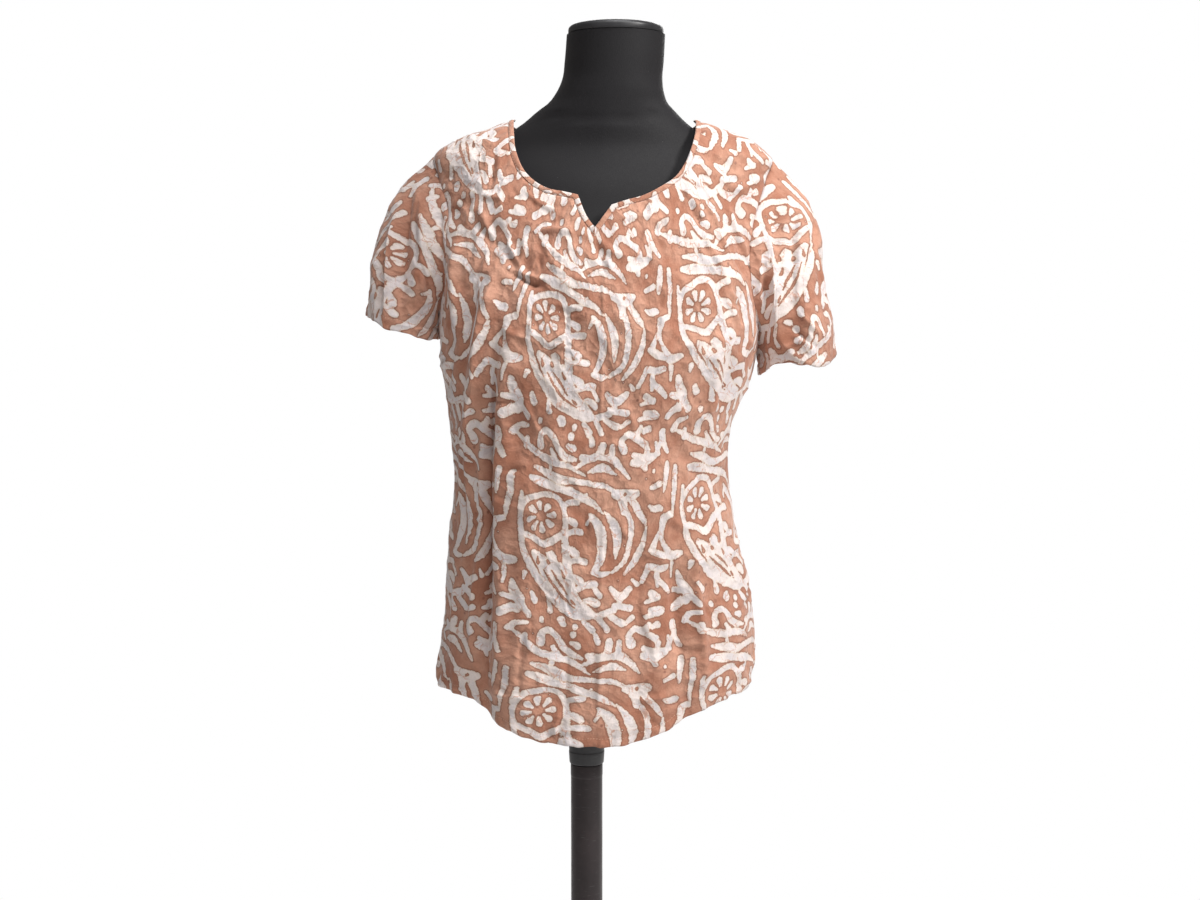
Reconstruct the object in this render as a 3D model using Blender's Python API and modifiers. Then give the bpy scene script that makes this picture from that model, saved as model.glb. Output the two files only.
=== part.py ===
"""Batik blouse worn by a limbless dress form on a pole stand.

Metres, +Z up, front towards -Y. The origin is the middle of the stand's base,
on the floor. The blouse's front, back and sleeves are cloth walls over one
surface whose level sections are superellipses. A section's angle is 0 at the
right side seam (+X), 90 degrees at the front, 180 at the left seam, 270 behind.
"""

import math

import bmesh
import bpy
import numpy as np

COLLECTION = "batik_blouse_on_dress_form"

# Cloth
WALL = 0.0016
SEAM_GAP = 0.0003
ARMHOLE_GAP = 0.0006
BINDING_GAP = 0.0004
CORNER_GAP = 0.0010
BINDING_WIDTH = 0.006
BINDING_PROUD = 0.0004
BODY_POWER = 2.25

# Level sections of the blouse's body, from below the hem up to the neck's sides
# z, left x, right x, front y, back y
BODY = np.array((
    (0.640, -0.178, 0.198, -0.118, 0.114),
    (0.700, -0.177, 0.199, -0.119, 0.115),
    (0.760, -0.168, 0.197, -0.120, 0.114),
    (0.820, -0.164, 0.188, -0.121, 0.112),
    (0.880, -0.158, 0.175, -0.122, 0.109),
    (0.940, -0.153, 0.164, -0.125, 0.106),
    (0.985, -0.154, 0.163, -0.128, 0.104),
    (1.030, -0.160, 0.177, -0.132, 0.104),
    (1.075, -0.164, 0.192, -0.136, 0.104),
    (1.110, -0.167, 0.198, -0.136, 0.105),
    (1.150, -0.170, 0.201, -0.130, 0.108),
    (1.200, -0.172, 0.205, -0.116, 0.108),
    (1.250, -0.173, 0.209, -0.097, 0.104),
    (1.290, -0.1745, 0.212, -0.080, 0.096),
    (1.318, -0.1737, 0.2124, -0.067, 0.088),
    (1.329, -0.161, 0.199, -0.060, 0.083),
    (1.339, -0.138, 0.178, -0.052, 0.078),
    (1.348, -0.112, 0.152, -0.043, 0.072),
    (1.359, -0.0825, 0.1246, -0.031, 0.063),
))
NECK_SIDE_Z = 1.359

# Side seams: section angle, vent's top, armpit, shoulder point
LEFT = {"angle": 180, "vent": 0.790, "pit": 1.125, "shoulder": 1.318}
RIGHT = {"angle": 0, "vent": 0.785, "pit": 1.095, "shoulder": 1.313}
VENT_SPREAD = 4.5

# How far the armholes cut into each panel, in degrees round the section
FRONT_ARMHOLE = 29
BACK_ARMHOLE = 26
ARMHOLE_POWER = 0.8

# Curved hems: fraction of the way across the panel, z
FRONT_HEM = np.array((
    (0.00, 0.740), (0.02, 0.722), (0.06, 0.708), (0.13, 0.703), (0.20, 0.696),
    (0.27, 0.675), (0.36, 0.660), (0.47, 0.654), (0.58, 0.655), (0.66, 0.667),
    (0.75, 0.688), (0.85, 0.700), (0.93, 0.706), (0.98, 0.722), (1.00, 0.742),
))
BACK_HEM = np.array((
    (0.00, 0.725), (0.02, 0.706), (0.06, 0.693), (0.15, 0.682), (0.30, 0.668),
    (0.50, 0.660), (0.70, 0.666), (0.85, 0.678), (0.94, 0.689), (0.98, 0.703),
    (1.00, 0.722),
))

# Front neckline, seen from the front: x, z
NECK_LEFT = (
    (-0.0815, 1.3377), (-0.0774, 1.3138), (-0.0688, 1.2949), (-0.0570, 1.2828),
    (-0.0430, 1.2750), (-0.0249, 1.2708), (-0.0088, 1.2670),
)
NOTCH = ((-0.0088, 1.2670), (0.0020, 1.2415), (0.0102, 1.2301), (0.0288, 1.2553))
NECK_RIGHT = (
    (0.0288, 1.2553), (0.0467, 1.2610), (0.0646, 1.2663), (0.0827, 1.2756),
    (0.0992, 1.2870), (0.1106, 1.3025), (0.1188, 1.3224), (0.1235, 1.3387),
)
BACK_NECK_DROP = 0.012

# Sleeves: w from seam to hem, top line x, z, underarm line x, z, middle y, half depth y
LEFT_SLEEVE = np.array((
    (0.0, -0.1737, 1.318, -0.1690, 1.125, -0.002, 0.055),
    (0.2, -0.2112, 1.280, -0.1700, 1.121, -0.002, 0.058),
    (0.4, -0.2310, 1.245, -0.1710, 1.117, -0.003, 0.061),
    (0.6, -0.2440, 1.210, -0.1720, 1.113, -0.004, 0.064),
    (0.8, -0.2510, 1.175, -0.1730, 1.109, -0.005, 0.067),
    (1.0, -0.2568, 1.131, -0.1740, 1.105, -0.006, 0.068),
))
RIGHT_SLEEVE = np.array((
    (0.0, 0.2124, 1.313, 0.1985, 1.095, -0.002, 0.055),
    (0.2, 0.2500, 1.272, 0.1995, 1.090, -0.002, 0.059),
    (0.4, 0.2670, 1.232, 0.2005, 1.086, -0.003, 0.063),
    (0.6, 0.2715, 1.190, 0.2012, 1.081, -0.004, 0.066),
    (0.8, 0.2825, 1.137, 0.2020, 1.077, -0.005, 0.068),
    (1.0, 0.2870, 1.083, 0.2030, 1.072, -0.006, 0.069),
))
# Sleeve hems rise and fall: height, waves round the hem, phase in degrees
LEFT_HEM_WAVE = (0.0025, 2, 40)
RIGHT_HEM_WAVE = (0.0060, 3, 100)

# Largest folds: top x, z, bottom x, z, half width, depth into the cloth (negative on
# a ridge), side. A fold starts softly over the first part of its length.
FOLD_START = 0.35
FOLD_EDGE = 0.03  # folds fade out this near to the side seams
FRONT = -1
BACK = 1
FOLDS = (
    (-0.096, 1.130, -0.108, 0.655, 0.019, 0.016, FRONT),  # deep trough down the left front
    (-0.066, 1.060, -0.082, 0.650, 0.020, -0.006, FRONT),  # ridge beside it
    (0.060, 0.960, 0.056, 0.660, 0.016, 0.006, FRONT),
    (0.098, 0.900, 0.104, 0.690, 0.020, 0.007, FRONT),
    (0.150, 1.290, 0.196, 1.150, 0.016, 0.006, FRONT),  # chest folds towards the right armpit
    (0.222, 1.270, 0.236, 1.080, 0.014, 0.012, FRONT),  # deep fold down the right sleeve
    (-0.205, 1.260, -0.212, 1.110, 0.014, 0.006, FRONT),
    (-0.120, 1.240, -0.060, 1.170, 0.016, 0.005, FRONT),  # creases from the left shoulder
    (-0.075, 1.080, -0.100, 0.680, 0.020, 0.010, BACK),
    (0.020, 1.020, 0.015, 0.680, 0.022, 0.006, BACK),
    (0.110, 1.100, 0.125, 0.700, 0.020, 0.009, BACK),
    (0.170, 1.280, 0.195, 1.140, 0.016, 0.006, BACK),
    (-0.140, 1.280, -0.160, 1.150, 0.016, 0.005, BACK),
)

# Rows and columns of the panels
VENT_ROWS = 3
SIDE_ROWS = 12
ARMHOLE_ROWS = 12
SHOULDER_COLUMNS = 5
NECK_COLUMNS = 8
NOTCH_COLUMNS = 3
BACK_NECK_COLUMNS = 14
SLEEVE_ROWS = 9
RELAX_STEPS = 10
GIRTH_STEPS = 180
GIRTH_Z = 0.70
TOP_WEIGHTS = (1, 0.4, 0.4)  # columns spread along the top edge mostly by x

# Dress form: z, middle x, half width, front y, back y, section power
FORM = np.array((
    (0.6560, 0.014, 0.060, -0.042, 0.046, 2.2),
    (0.6600, 0.014, 0.084, -0.058, 0.062, 2.2),
    (0.6720, 0.014, 0.107, -0.074, 0.079, 2.25),
    (0.7000, 0.014, 0.130, -0.088, 0.093, 2.3),
    (0.7800, 0.015, 0.148, -0.096, 0.098, 2.3),
    (0.8600, 0.015, 0.136, -0.092, 0.092, 2.2),
    (0.9500, 0.016, 0.119, -0.086, 0.080, 2.2),
    (1.0200, 0.017, 0.126, -0.096, 0.085, 2.2),
    (1.1000, 0.018, 0.138, -0.118, 0.091, 2.2),
    (1.1500, 0.018, 0.148, -0.113, 0.095, 2.2),
    (1.2000, 0.018, 0.156, -0.099, 0.095, 2.1),
    (1.2500, 0.018, 0.162, -0.080, 0.091, 2.0),
    (1.2800, 0.018, 0.164, -0.070, 0.086, 1.9),
    (1.3000, 0.018, 0.162, -0.062, 0.080, 1.8),
    (1.3120, 0.018, 0.152, -0.058, 0.075, 1.7),
    (1.3250, 0.019, 0.136, -0.055, 0.070, 1.65),
    (1.3350, 0.020, 0.121, -0.055, 0.065, 1.65),
    (1.3450, 0.021, 0.106, -0.056, 0.060, 1.65),
    (1.3550, 0.022, 0.092, -0.056, 0.055, 1.7),
    (1.3660, 0.023, 0.0800, -0.057, 0.051, 1.8),
    (1.3750, 0.025, 0.0690, -0.058, 0.049, 1.9),
    (1.3850, 0.027, 0.0628, -0.059, 0.047, 2.0),
    (1.4030, 0.030, 0.0573, -0.060, 0.046, 2.0),
    (1.4220, 0.032, 0.0567, -0.061, 0.045, 2.0),
    (1.4520, 0.034, 0.0562, -0.062, 0.044, 2.0),
))
FORM_SEGMENTS = 36

# Stand
PART_GAP = 0.0003
POLE_RADIUS = 0.019
SOCKET_TOP_RADIUS = 0.0225
SOCKET_HEIGHT = 0.052
CAP_RADIUS = 0.0545
CAP_HEIGHT = 0.010
BASE_RADIUS = 0.170
BASE_HEIGHT = 0.014
FOOT_RADIUS = 0.032
FOOT_HEIGHT = 0.045
ROUND_SEGMENTS = 48


# ---------------------------------------------------------------- tables and curves

def rows_at(table, key):
    """Every column of a table at the given keys, on a cubic through its rows."""
    keys = table[:, 0]
    slopes = np.gradient(table[:, 1:], keys, axis=0)
    key = np.asarray(key, float)
    inside = np.clip(key, keys[0], keys[-1])
    row = np.clip(np.searchsorted(keys, inside) - 1, 0, len(keys) - 2)
    step = keys[row + 1] - keys[row]
    t = ((inside - keys[row]) / step)[..., None]
    step = step[..., None]
    start, end = table[row, 1:], table[row + 1, 1:]
    value = (
        start * (1 + 2 * t) * (1 - t) ** 2
        + end * t**2 * (3 - 2 * t)
        + step * (slopes[row] * t * (1 - t) ** 2 - slopes[row + 1] * t**2 * (1 - t))
    )
    edge_slope = np.where((key > keys[-1])[..., None], slopes[-1], slopes[0])
    return value + edge_slope * (key - inside)[..., None]


def unit(vectors):
    return vectors / np.maximum(np.linalg.norm(vectors, axis=-1, keepdims=True), 1e-12)


def dot(a, b):
    return np.sum(a * b, axis=-1, keepdims=True)


def even_curve(points, spans):
    """Points spaced evenly along a smooth curve through the given ones."""
    points = np.asarray(points, float)
    chords = np.linalg.norm(np.diff(points, axis=0), axis=1)
    keys = np.concatenate(((0,), np.cumsum(chords)))
    table = np.column_stack((keys, points))
    return rows_at(table, np.linspace(0, keys[-1], spans + 1))


# ---------------------------------------------------------------- the body's surface

def section(z):
    """Middle x, half width, middle y, front depth and back depth of the body at z."""
    left, right, front, back = np.moveaxis(rows_at(BODY, z), -1, 0)
    middle_y = (front + back) / 2
    return (left + right) / 2, (right - left) / 2, middle_y, middle_y - front, back - middle_y


def on_body(angle, z):
    """The body's surface at a section angle in degrees and a height."""
    angle, z = np.broadcast_arrays(np.radians(angle), np.asarray(z, float))
    middle_x, half_width, middle_y, front, back = section(z)
    across, ahead = np.cos(angle), np.sin(angle)
    across = np.sign(across) * np.abs(across) ** (2 / BODY_POWER)
    ahead = np.sign(ahead) * np.abs(ahead) ** (2 / BODY_POWER)
    depth = np.where(ahead > 0, front, back)
    return np.stack((middle_x + half_width * across, middle_y - depth * ahead, z), axis=-1)


def on_front(x, z):
    """The front's surface at a place seen from the front."""
    middle_x, half_width, middle_y, front, _ = section(np.asarray(z, float))
    across = np.minimum(np.abs(np.asarray(x) - middle_x) / half_width, 1)
    y = middle_y - front * (1 - across**BODY_POWER) ** (1 / BODY_POWER)
    return np.stack((np.asarray(x, float), y, np.asarray(z, float)), axis=-1)


def above_surface(points):
    """Zero on the body's surface, positive outside it."""
    middle_x, half_width, middle_y, front, back = section(points[..., 2])
    across = np.abs(points[..., 0] - middle_x) / half_width
    ahead = points[..., 1] - middle_y
    ahead = np.abs(ahead) / np.where(ahead < 0, front, back)
    return (across**BODY_POWER + ahead**BODY_POWER) ** (1 / BODY_POWER) - 1


def surface_slope(points):
    reach = 1e-5
    steps = np.eye(3) * reach
    slopes = [(above_surface(points + s) - above_surface(points - s)) / (2 * reach) for s in steps]
    return np.stack(slopes, axis=-1)


def onto_body(points):
    """Moves points to the nearest place on the body's surface."""
    for _ in range(4):
        slope = surface_slope(points)
        points = points - slope * (above_surface(points)[..., None] / dot(slope, slope))
    return points


def fold_profile(x, z, fold):
    """How much of a fold's depth acts at a place seen from the front."""
    top_x, top_z, bottom_x, bottom_z, half_width = fold[:5]
    run_x, run_z = bottom_x - top_x, bottom_z - top_z
    length = math.hypot(run_x, run_z)
    along = ((x - top_x) * run_x + (z - top_z) * run_z) / length
    across = ((x - top_x) * run_z - (z - top_z) * run_x) / length
    ends = np.clip(along / (FOLD_START * length), 0, 1)
    return np.exp(-((across / half_width) ** 2)) * ends**2 * (3 - 2 * ends)


def folded(points):
    """Presses the largest folds into points of the blouse."""
    points = points.copy()
    x, z = points[..., 0], points[..., 2]
    middle_y = section(z)[2]
    for fold in FOLDS:
        depth, side = fold[5:]
        behind = (points[..., 1] - middle_y) * side
        facing = np.clip(behind / FOLD_EDGE, 0, 1)
        points[..., 1] -= side * depth * fold_profile(x, z, fold) * facing
    return points


# ---------------------------------------------------------------- edges of the pieces

def wave_steps(count):
    """0 to 1 in steps that are short at both ends."""
    return 0.5 - 0.5 * np.cos(np.pi * np.arange(count + 1) / count)


def armhole(side, cut, turn):
    """An armhole edge from armpit to shoulder; turn says which way round it cuts."""
    tau = wave_steps(ARMHOLE_ROWS)
    reach = cut * np.abs(np.sin(np.pi * tau)) ** ARMHOLE_POWER
    z = side["pit"] + (side["shoulder"] - side["pit"]) * tau
    return on_body(side["angle"] + turn * reach, z)


def side_edge(side, hem_z, cut, turn):
    """A panel's edge from the hem's corner up to the shoulder point."""
    vent_z = np.linspace(hem_z, side["vent"], VENT_ROWS + 1)
    spread = VENT_SPREAD * (side["vent"] - vent_z) / (side["vent"] - hem_z)
    vent = on_body(side["angle"] + turn * spread, vent_z)
    seam_z = np.linspace(side["vent"], side["pit"], SIDE_ROWS + 1)
    seam = on_body(side["angle"], seam_z)
    return np.concatenate((vent[:-1], seam[:-1], armhole(side, cut, turn)))


def neck_edge():
    """The neckline's loop: front from left to right, then back from right to left."""
    left_side = on_body(LEFT["angle"], NECK_SIDE_Z)
    right_side = on_body(RIGHT["angle"], NECK_SIDE_Z)
    left = [left_side] + [on_front(x, z) for x, z in NECK_LEFT]
    notch = [on_front(x, z) for x, z in NOTCH]
    right = [on_front(x, z) for x, z in NECK_RIGHT] + [right_side]
    turn = np.linspace(0, math.pi, BACK_NECK_COLUMNS + 1)
    back = on_body(-np.degrees(turn), NECK_SIDE_Z - BACK_NECK_DROP * np.sin(turn))
    runs = (
        even_curve(left, NECK_COLUMNS)[:-1],
        even_curve(notch[:3], NOTCH_COLUMNS)[:-1],
        even_curve(notch[2:], NOTCH_COLUMNS)[:-1],
        even_curve(right, NECK_COLUMNS)[:-1],
        back[:-1],
    )
    return onto_body(np.concatenate(runs))


def moved_into_cloth(loop, width):
    """The neckline's loop moved away from the neck, mitred at its corners."""
    normal = unit(surface_slope(loop))
    before = unit(loop - np.roll(loop, 1, axis=0))
    after = unit(np.roll(loop, -1, axis=0) - loop)
    before_out = unit(np.cross(before, normal))
    after_out = unit(np.cross(after, normal))
    mitre = (before_out + after_out) / (1 + dot(before_out, after_out))
    return onto_body(loop + width * mitre)


def shoulder_edge(side, neck_point):
    """A shoulder seam from the shoulder point to the neck binding."""
    z = np.linspace(side["shoulder"], neck_point[2], SHOULDER_COLUMNS + 1)[:-1]
    return on_body(side["angle"], z)


# ---------------------------------------------------------------- panels

def across_hem(start_angle, fractions, hem):
    """The hem at fractions of the girth, from one side edge to the other."""
    heights = rows_at(hem, fractions)[:, 0]
    sweep = 180 - 2 * VENT_SPREAD
    turns = np.linspace(0, 1, GIRTH_STEPS + 1)
    fine = on_body(start_angle - VENT_SPREAD - sweep * turns, GIRTH_Z)
    girth = np.concatenate(((0,), np.cumsum(np.linalg.norm(np.diff(fine, axis=0), axis=1))))
    share = np.interp(fractions * girth[-1], girth, turns)
    return on_body(start_angle - VENT_SPREAD - sweep * share, heights)


def panel(first, second, cut, hem, top):
    """A panel's grid, rows from hem to shoulders, columns from first side to second."""
    first_edge = side_edge(first, hem[0, 1], cut, -1)
    second_edge = side_edge(second, hem[-1, 1], cut, 1)
    steps = np.linalg.norm(np.diff(top, axis=0) * TOP_WEIGHTS, axis=1)
    g = np.concatenate(((0,), np.cumsum(steps)))
    g = (g / g[-1])[None, :, None]
    bottom = across_hem(first["angle"], g[0, :, 0], hem)
    rises = [(edge[:, 2] - edge[0, 2]) / np.ptp(edge[:, 2]) for edge in (first_edge, second_edge)]
    v = np.mean(rises, axis=0)[:, None, None]
    corners = (
        (1 - v) * ((1 - g) * bottom[0] + g * bottom[-1])
        + v * ((1 - g) * top[0] + g * top[-1])
    )
    grid = (
        (1 - g) * first_edge[:, None]
        + g * second_edge[:, None]
        + (1 - v) * bottom[None]
        + v * top[None]
        - corners
    )
    grid[1:-1, 1:-1] = onto_body(grid[1:-1, 1:-1])
    for _ in range(RELAX_STEPS):
        middle = (grid[:-2, 1:-1] + grid[2:, 1:-1] + grid[1:-1, :-2] + grid[1:-1, 2:]) / 4
        grid[1:-1, 1:-1] = onto_body(middle)
    return grid


def sleeve(side, table, hem_wave):
    """A sleeve's grid, rows from armhole to hem, columns round it from the shoulder."""
    front_turn = -1 if side is LEFT else 1
    front = armhole(side, FRONT_ARMHOLE, front_turn)[::-1]
    back = armhole(side, BACK_ARMHOLE, -front_turn)
    root = np.concatenate((front[:-1], back[:-1]))
    w = np.linspace(0, 1, SLEEVE_ROWS + 1)
    top_x, top_z, under_x, under_z, middle_y, half_y = np.moveaxis(rows_at(table, w), -1, 0)
    theta = np.linspace(0, 2 * math.pi, len(root), endpoint=False)
    up, ahead = np.cos(theta)[None], np.sin(theta)[None]
    x = (top_x + under_x)[:, None] / 2 + (top_x - under_x)[:, None] / 2 * up
    y = middle_y[:, None] - half_y[:, None] * ahead
    z = (top_z + under_z)[:, None] / 2 + (top_z - under_z)[:, None] / 2 * up
    height, waves, phase = hem_wave
    z = z + height * np.sin(waves * theta + math.radians(phase))[None] * w[:, None] ** 2
    rings = np.stack((x, y, z), axis=-1)
    return rings + (root - rings[0]) * (1 - w[:, None, None]) ** 2


# ---------------------------------------------------------------- cloth walls

class Piece:
    """One piece of cloth: a grid of points on its outer face, and its wall's direction."""

    def __init__(self, name, grid, closed=False, flipped=False, proud=0.0):
        self.name = name
        self.grid = folded(grid)
        self.closed = closed
        self.flipped = flipped
        self.proud = proud
        self.shift = np.zeros_like(self.grid)
        self.outward = self.normals()

    def normals(self):
        grid = self.grid
        if self.closed:
            around = np.roll(grid, -1, axis=1) - np.roll(grid, 1, axis=1)
        else:
            around = np.gradient(grid, axis=1)
        along = np.gradient(grid, axis=0)
        normal = unit(np.cross(around, along))
        return -normal if self.flipped else normal

    def wall(self):
        """Both faces of the wall and the edges between them, as a closed mesh."""
        outer = self.grid + self.shift + self.outward * self.proud
        inner = self.grid + self.shift - self.outward * (WALL + self.proud)
        rows, columns = self.grid.shape[:2]
        points = np.concatenate((outer.reshape(-1, 3), inner.reshape(-1, 3)))
        index = np.arange(2 * rows * columns).reshape(2, rows, columns)
        if self.closed:
            index = np.concatenate((index, index[:, :, :1]), axis=2)
        faces = quads(index[0]) + quads(index[1], turned=True)
        first, last = index[:, 0], index[:, -1]
        faces += quads(np.stack((first[1], first[0])))
        faces += quads(np.stack((last[0], last[1])))
        if not self.closed:
            left, right = index[:, :, 0], index[:, :, -1]
            faces += quads(np.stack((left[0], left[1])))
            faces += quads(np.stack((right[1], right[0])))
        if self.flipped:
            faces = [face[::-1] for face in faces]
        return points, faces


def quads(index, turned=False):
    """Four-sided faces between the rows of an index grid."""
    corners = np.stack((index[:-1, :-1], index[:-1, 1:], index[1:, 1:], index[1:, :-1]), axis=-1)
    faces = corners.reshape(-1, 4).tolist()
    return [face[::-1] for face in faces] if turned else faces


def inner_step(piece, place, row_seam):
    """From an edge point to the next one inside the piece, as a step of row and column."""
    row, column = place
    if not row_seam and column == 0:
        return 0, 1
    if not row_seam and column == piece.grid.shape[1] - 1:
        return 0, -1
    return (1, 0) if row == 0 else (-1, 0)


def eased(vectors, passes=3):
    """Directions along a seam, evened out between neighbours."""
    for _ in range(passes):
        middle = (vectors[:-2] + 2 * vectors[1:-1] + vectors[2:]) / 4
        vectors = np.concatenate((vectors[:1], middle, vectors[-1:]))
    return unit(vectors)


def seam(piece, places, other, other_places, shared, gap=SEAM_GAP, end_gap=CORNER_GAP, row_seam=()):
    """Parts two edges by a gap and gives their walls one shared direction at each point.

    row_seam names the pieces whose edge runs along a row of their grid.
    """
    edge = np.array([piece.grid[place] for place in places])
    along = unit(np.gradient(edge, axis=0))
    runs = unit(np.diff(edge, axis=0))
    mitre = np.ones(len(edge))
    mitre[1:-1] = np.sqrt(2 / (1 + dot(runs[:-1], runs[1:])[:, 0]))
    inside = []
    for cloth, cloth_places in ((piece, places), (other, other_places)):
        steps = [inner_step(cloth, place, cloth.name in row_seam) for place in cloth_places]
        nexts = [cloth.grid[p[0] + s[0], p[1] + s[1]] for p, s in zip(cloth_places, steps)]
        inside.append(unit(np.array(nexts) - edge))
    apart = inside[0] - inside[1]
    apart = eased(unit(apart - along * dot(apart, along)), 0 if mitre.max() > 1.2 else 3)
    outward = unit(np.cross(along, apart))
    known = np.array([piece.outward[p] + other.outward[q] for p, q in zip(places, other_places)])
    outward = eased(outward * np.sign(dot(outward, known)))
    for number, (place, other_place) in enumerate(zip(places, other_places)):
        width = end_gap if number in (0, len(places) - 1) else gap * mitre[number]
        piece.shift[place] += apart[number] * width / 2
        other.shift[other_place] -= apart[number] * width / 2
        shared.setdefault(tuple(np.round(edge[number], 5)), []).append(outward[number])


def share_directions(pieces, shared):
    """Every wall that meets at a seam point stands in the same direction there."""
    for piece in pieces:
        for place in np.ndindex(piece.grid.shape[:2]):
            found = shared.get(tuple(np.round(piece.grid[place], 5)))
            if found:
                piece.outward[place] = unit(np.sum(found, axis=0))


def blouse():
    """The blouse's pieces, parted along every seam."""
    edge = neck_edge()
    binding_seam = moved_into_cloth(edge, BINDING_WIDTH)
    front_columns = 2 * (NECK_COLUMNS + NOTCH_COLUMNS)
    front_neck = binding_seam[: front_columns + 1]
    back_neck = np.concatenate((binding_seam[front_columns:], binding_seam[:1]))
    left_shoulder = shoulder_edge(LEFT, front_neck[0])
    right_shoulder = shoulder_edge(RIGHT, front_neck[-1])
    front_top = np.concatenate((left_shoulder, front_neck, right_shoulder[::-1]))
    back_top = np.concatenate((right_shoulder, back_neck, left_shoulder[::-1]))

    front = Piece("front", panel(LEFT, RIGHT, FRONT_ARMHOLE, FRONT_HEM, front_top))
    back = Piece("back", panel(RIGHT, LEFT, BACK_ARMHOLE, BACK_HEM, back_top))
    left = Piece("sleeve_left", sleeve(LEFT, LEFT_SLEEVE, LEFT_HEM_WAVE), closed=True, flipped=True)
    right = Piece("sleeve_right", sleeve(RIGHT, RIGHT_SLEEVE, RIGHT_HEM_WAVE), closed=True)
    band = np.stack((binding_seam, edge))
    binding = Piece("neck_binding", band, closed=True, proud=BINDING_PROUD)

    shared = {}
    pit_row = VENT_ROWS + SIDE_ROWS
    top_row = pit_row + ARMHOLE_ROWS
    side_rows = range(VENT_ROWS, pit_row + 1)
    arm_rows = range(pit_row, top_row + 1)
    last = {piece.name: piece.grid.shape[1] - 1 for piece in (front, back)}
    round_arm = 2 * ARMHOLE_ROWS

    for front_column, back_column in ((0, last["back"]), (last["front"], 0)):
        front_side = [(r, front_column) for r in side_rows]
        back_side = [(r, back_column) for r in side_rows]
        seam(front, front_side, back, back_side, shared)
    for arm, front_column, back_column in ((left, 0, last["back"]), (right, last["front"], 0)):
        arm_front = [(0, top_row - r) for r in arm_rows]
        arm_back = [(0, (ARMHOLE_ROWS + r - pit_row) % round_arm) for r in arm_rows]
        front_arm = [(r, front_column) for r in arm_rows]
        back_arm = [(r, back_column) for r in arm_rows]
        seam(front, front_arm, arm, arm_front, shared, ARMHOLE_GAP, row_seam=(arm.name,))
        seam(back, back_arm, arm, arm_back, shared, ARMHOLE_GAP, row_seam=(arm.name,))
    for front_column, back_column, turn in ((0, last["back"], 1), (last["front"], 0, -1)):
        steps = range(SHOULDER_COLUMNS + 1)
        front_shoulder = [(top_row, front_column + turn * s) for s in steps]
        back_shoulder = [(top_row, back_column - turn * s) for s in steps]
        seam(front, front_shoulder, back, back_shoulder, shared, row_seam=("front", "back"))
    neck_seams = ((front, 0, front_columns), (back, front_columns, BACK_NECK_COLUMNS))
    for body, first_column, count in neck_seams:
        body_neck = [(top_row, SHOULDER_COLUMNS + c) for c in range(count + 1)]
        band_neck = [(0, (first_column + c) % len(edge)) for c in range(count + 1)]
        row_seam = (body.name, binding.name)
        seam(body, body_neck, binding, band_neck, shared, BINDING_GAP, CORNER_GAP, row_seam)

    pieces = (front, back, left, right, binding)
    share_directions(pieces, shared)
    return pieces


# ---------------------------------------------------------------- objects

def material(name, color, roughness, metallic=0.0):
    found = bpy.data.materials.new(name)
    found.use_nodes = True
    shader = found.node_tree.nodes["Principled BSDF"]
    shader.inputs["Base Color"].default_value = (*color, 1.0)
    shader.inputs["Roughness"].default_value = roughness
    shader.inputs["Metallic"].default_value = metallic
    return found


def link(obj, finish, smooth_below=40):
    """Puts an object in the part's collection, with its finish and smooth round faces."""
    obj.data.materials.append(finish)
    if smooth_below:
        obj.data.shade_smooth()
        obj.data.set_sharp_from_angle(angle=math.radians(smooth_below))
    bpy.data.collections[COLLECTION].objects.link(obj)
    return obj


def mesh_object(name, points, faces, finish):
    mesh = bpy.data.meshes.new(name)
    mesh.from_pydata([tuple(point) for point in points], [], faces)
    mesh.update()
    return link(bpy.data.objects.new(name, mesh), finish)


def turned(name, profile, finish, location):
    """A solid turned about +Z from its outer profile, top to bottom."""
    mesh = bpy.data.meshes.new(name)
    edges = [(i, i + 1) for i in range(len(profile) - 1)]
    mesh.from_pydata([(radius, 0, z) for radius, z in profile], edges, [])
    obj = link(bpy.data.objects.new(name, mesh), finish, 0)
    obj.location = location
    screw = obj.modifiers.new("turn", "SCREW")
    screw.steps = screw.render_steps = ROUND_SEGMENTS
    screw.use_merge_vertices = True
    screw.merge_threshold = 0.0001
    screw.use_smooth_shade = True
    return obj


def form_ring(row):
    """One level section of the dress form."""
    z, middle_x, half_width, front, back, power = row
    angle = np.linspace(0, 2 * math.pi, FORM_SEGMENTS, endpoint=False)
    across, ahead = np.cos(angle), np.sin(angle)
    across = np.sign(across) * np.abs(across) ** (2 / power)
    ahead = np.sign(ahead) * np.abs(ahead) ** (2 / power)
    middle_y = (front + back) / 2
    depth = (back - front) / 2
    x = middle_x + half_width * across
    y = middle_y + depth * ahead
    return np.stack((x, y, np.full_like(x, z)), axis=-1)


def dress_form(finish):
    """The torso and neck, lofted through level sections, closed flat at both ends."""
    rings = [form_ring(row) for row in FORM]
    count = len(rings)
    index = np.arange(count * FORM_SEGMENTS).reshape(count, FORM_SEGMENTS)
    closed = np.concatenate((index, index[:, :1]), axis=1)
    faces = quads(closed)
    faces.append(index[0][::-1].tolist())
    faces.append(index[-1].tolist())
    return mesh_object("form_torso", np.concatenate(rings), faces, finish)


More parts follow.
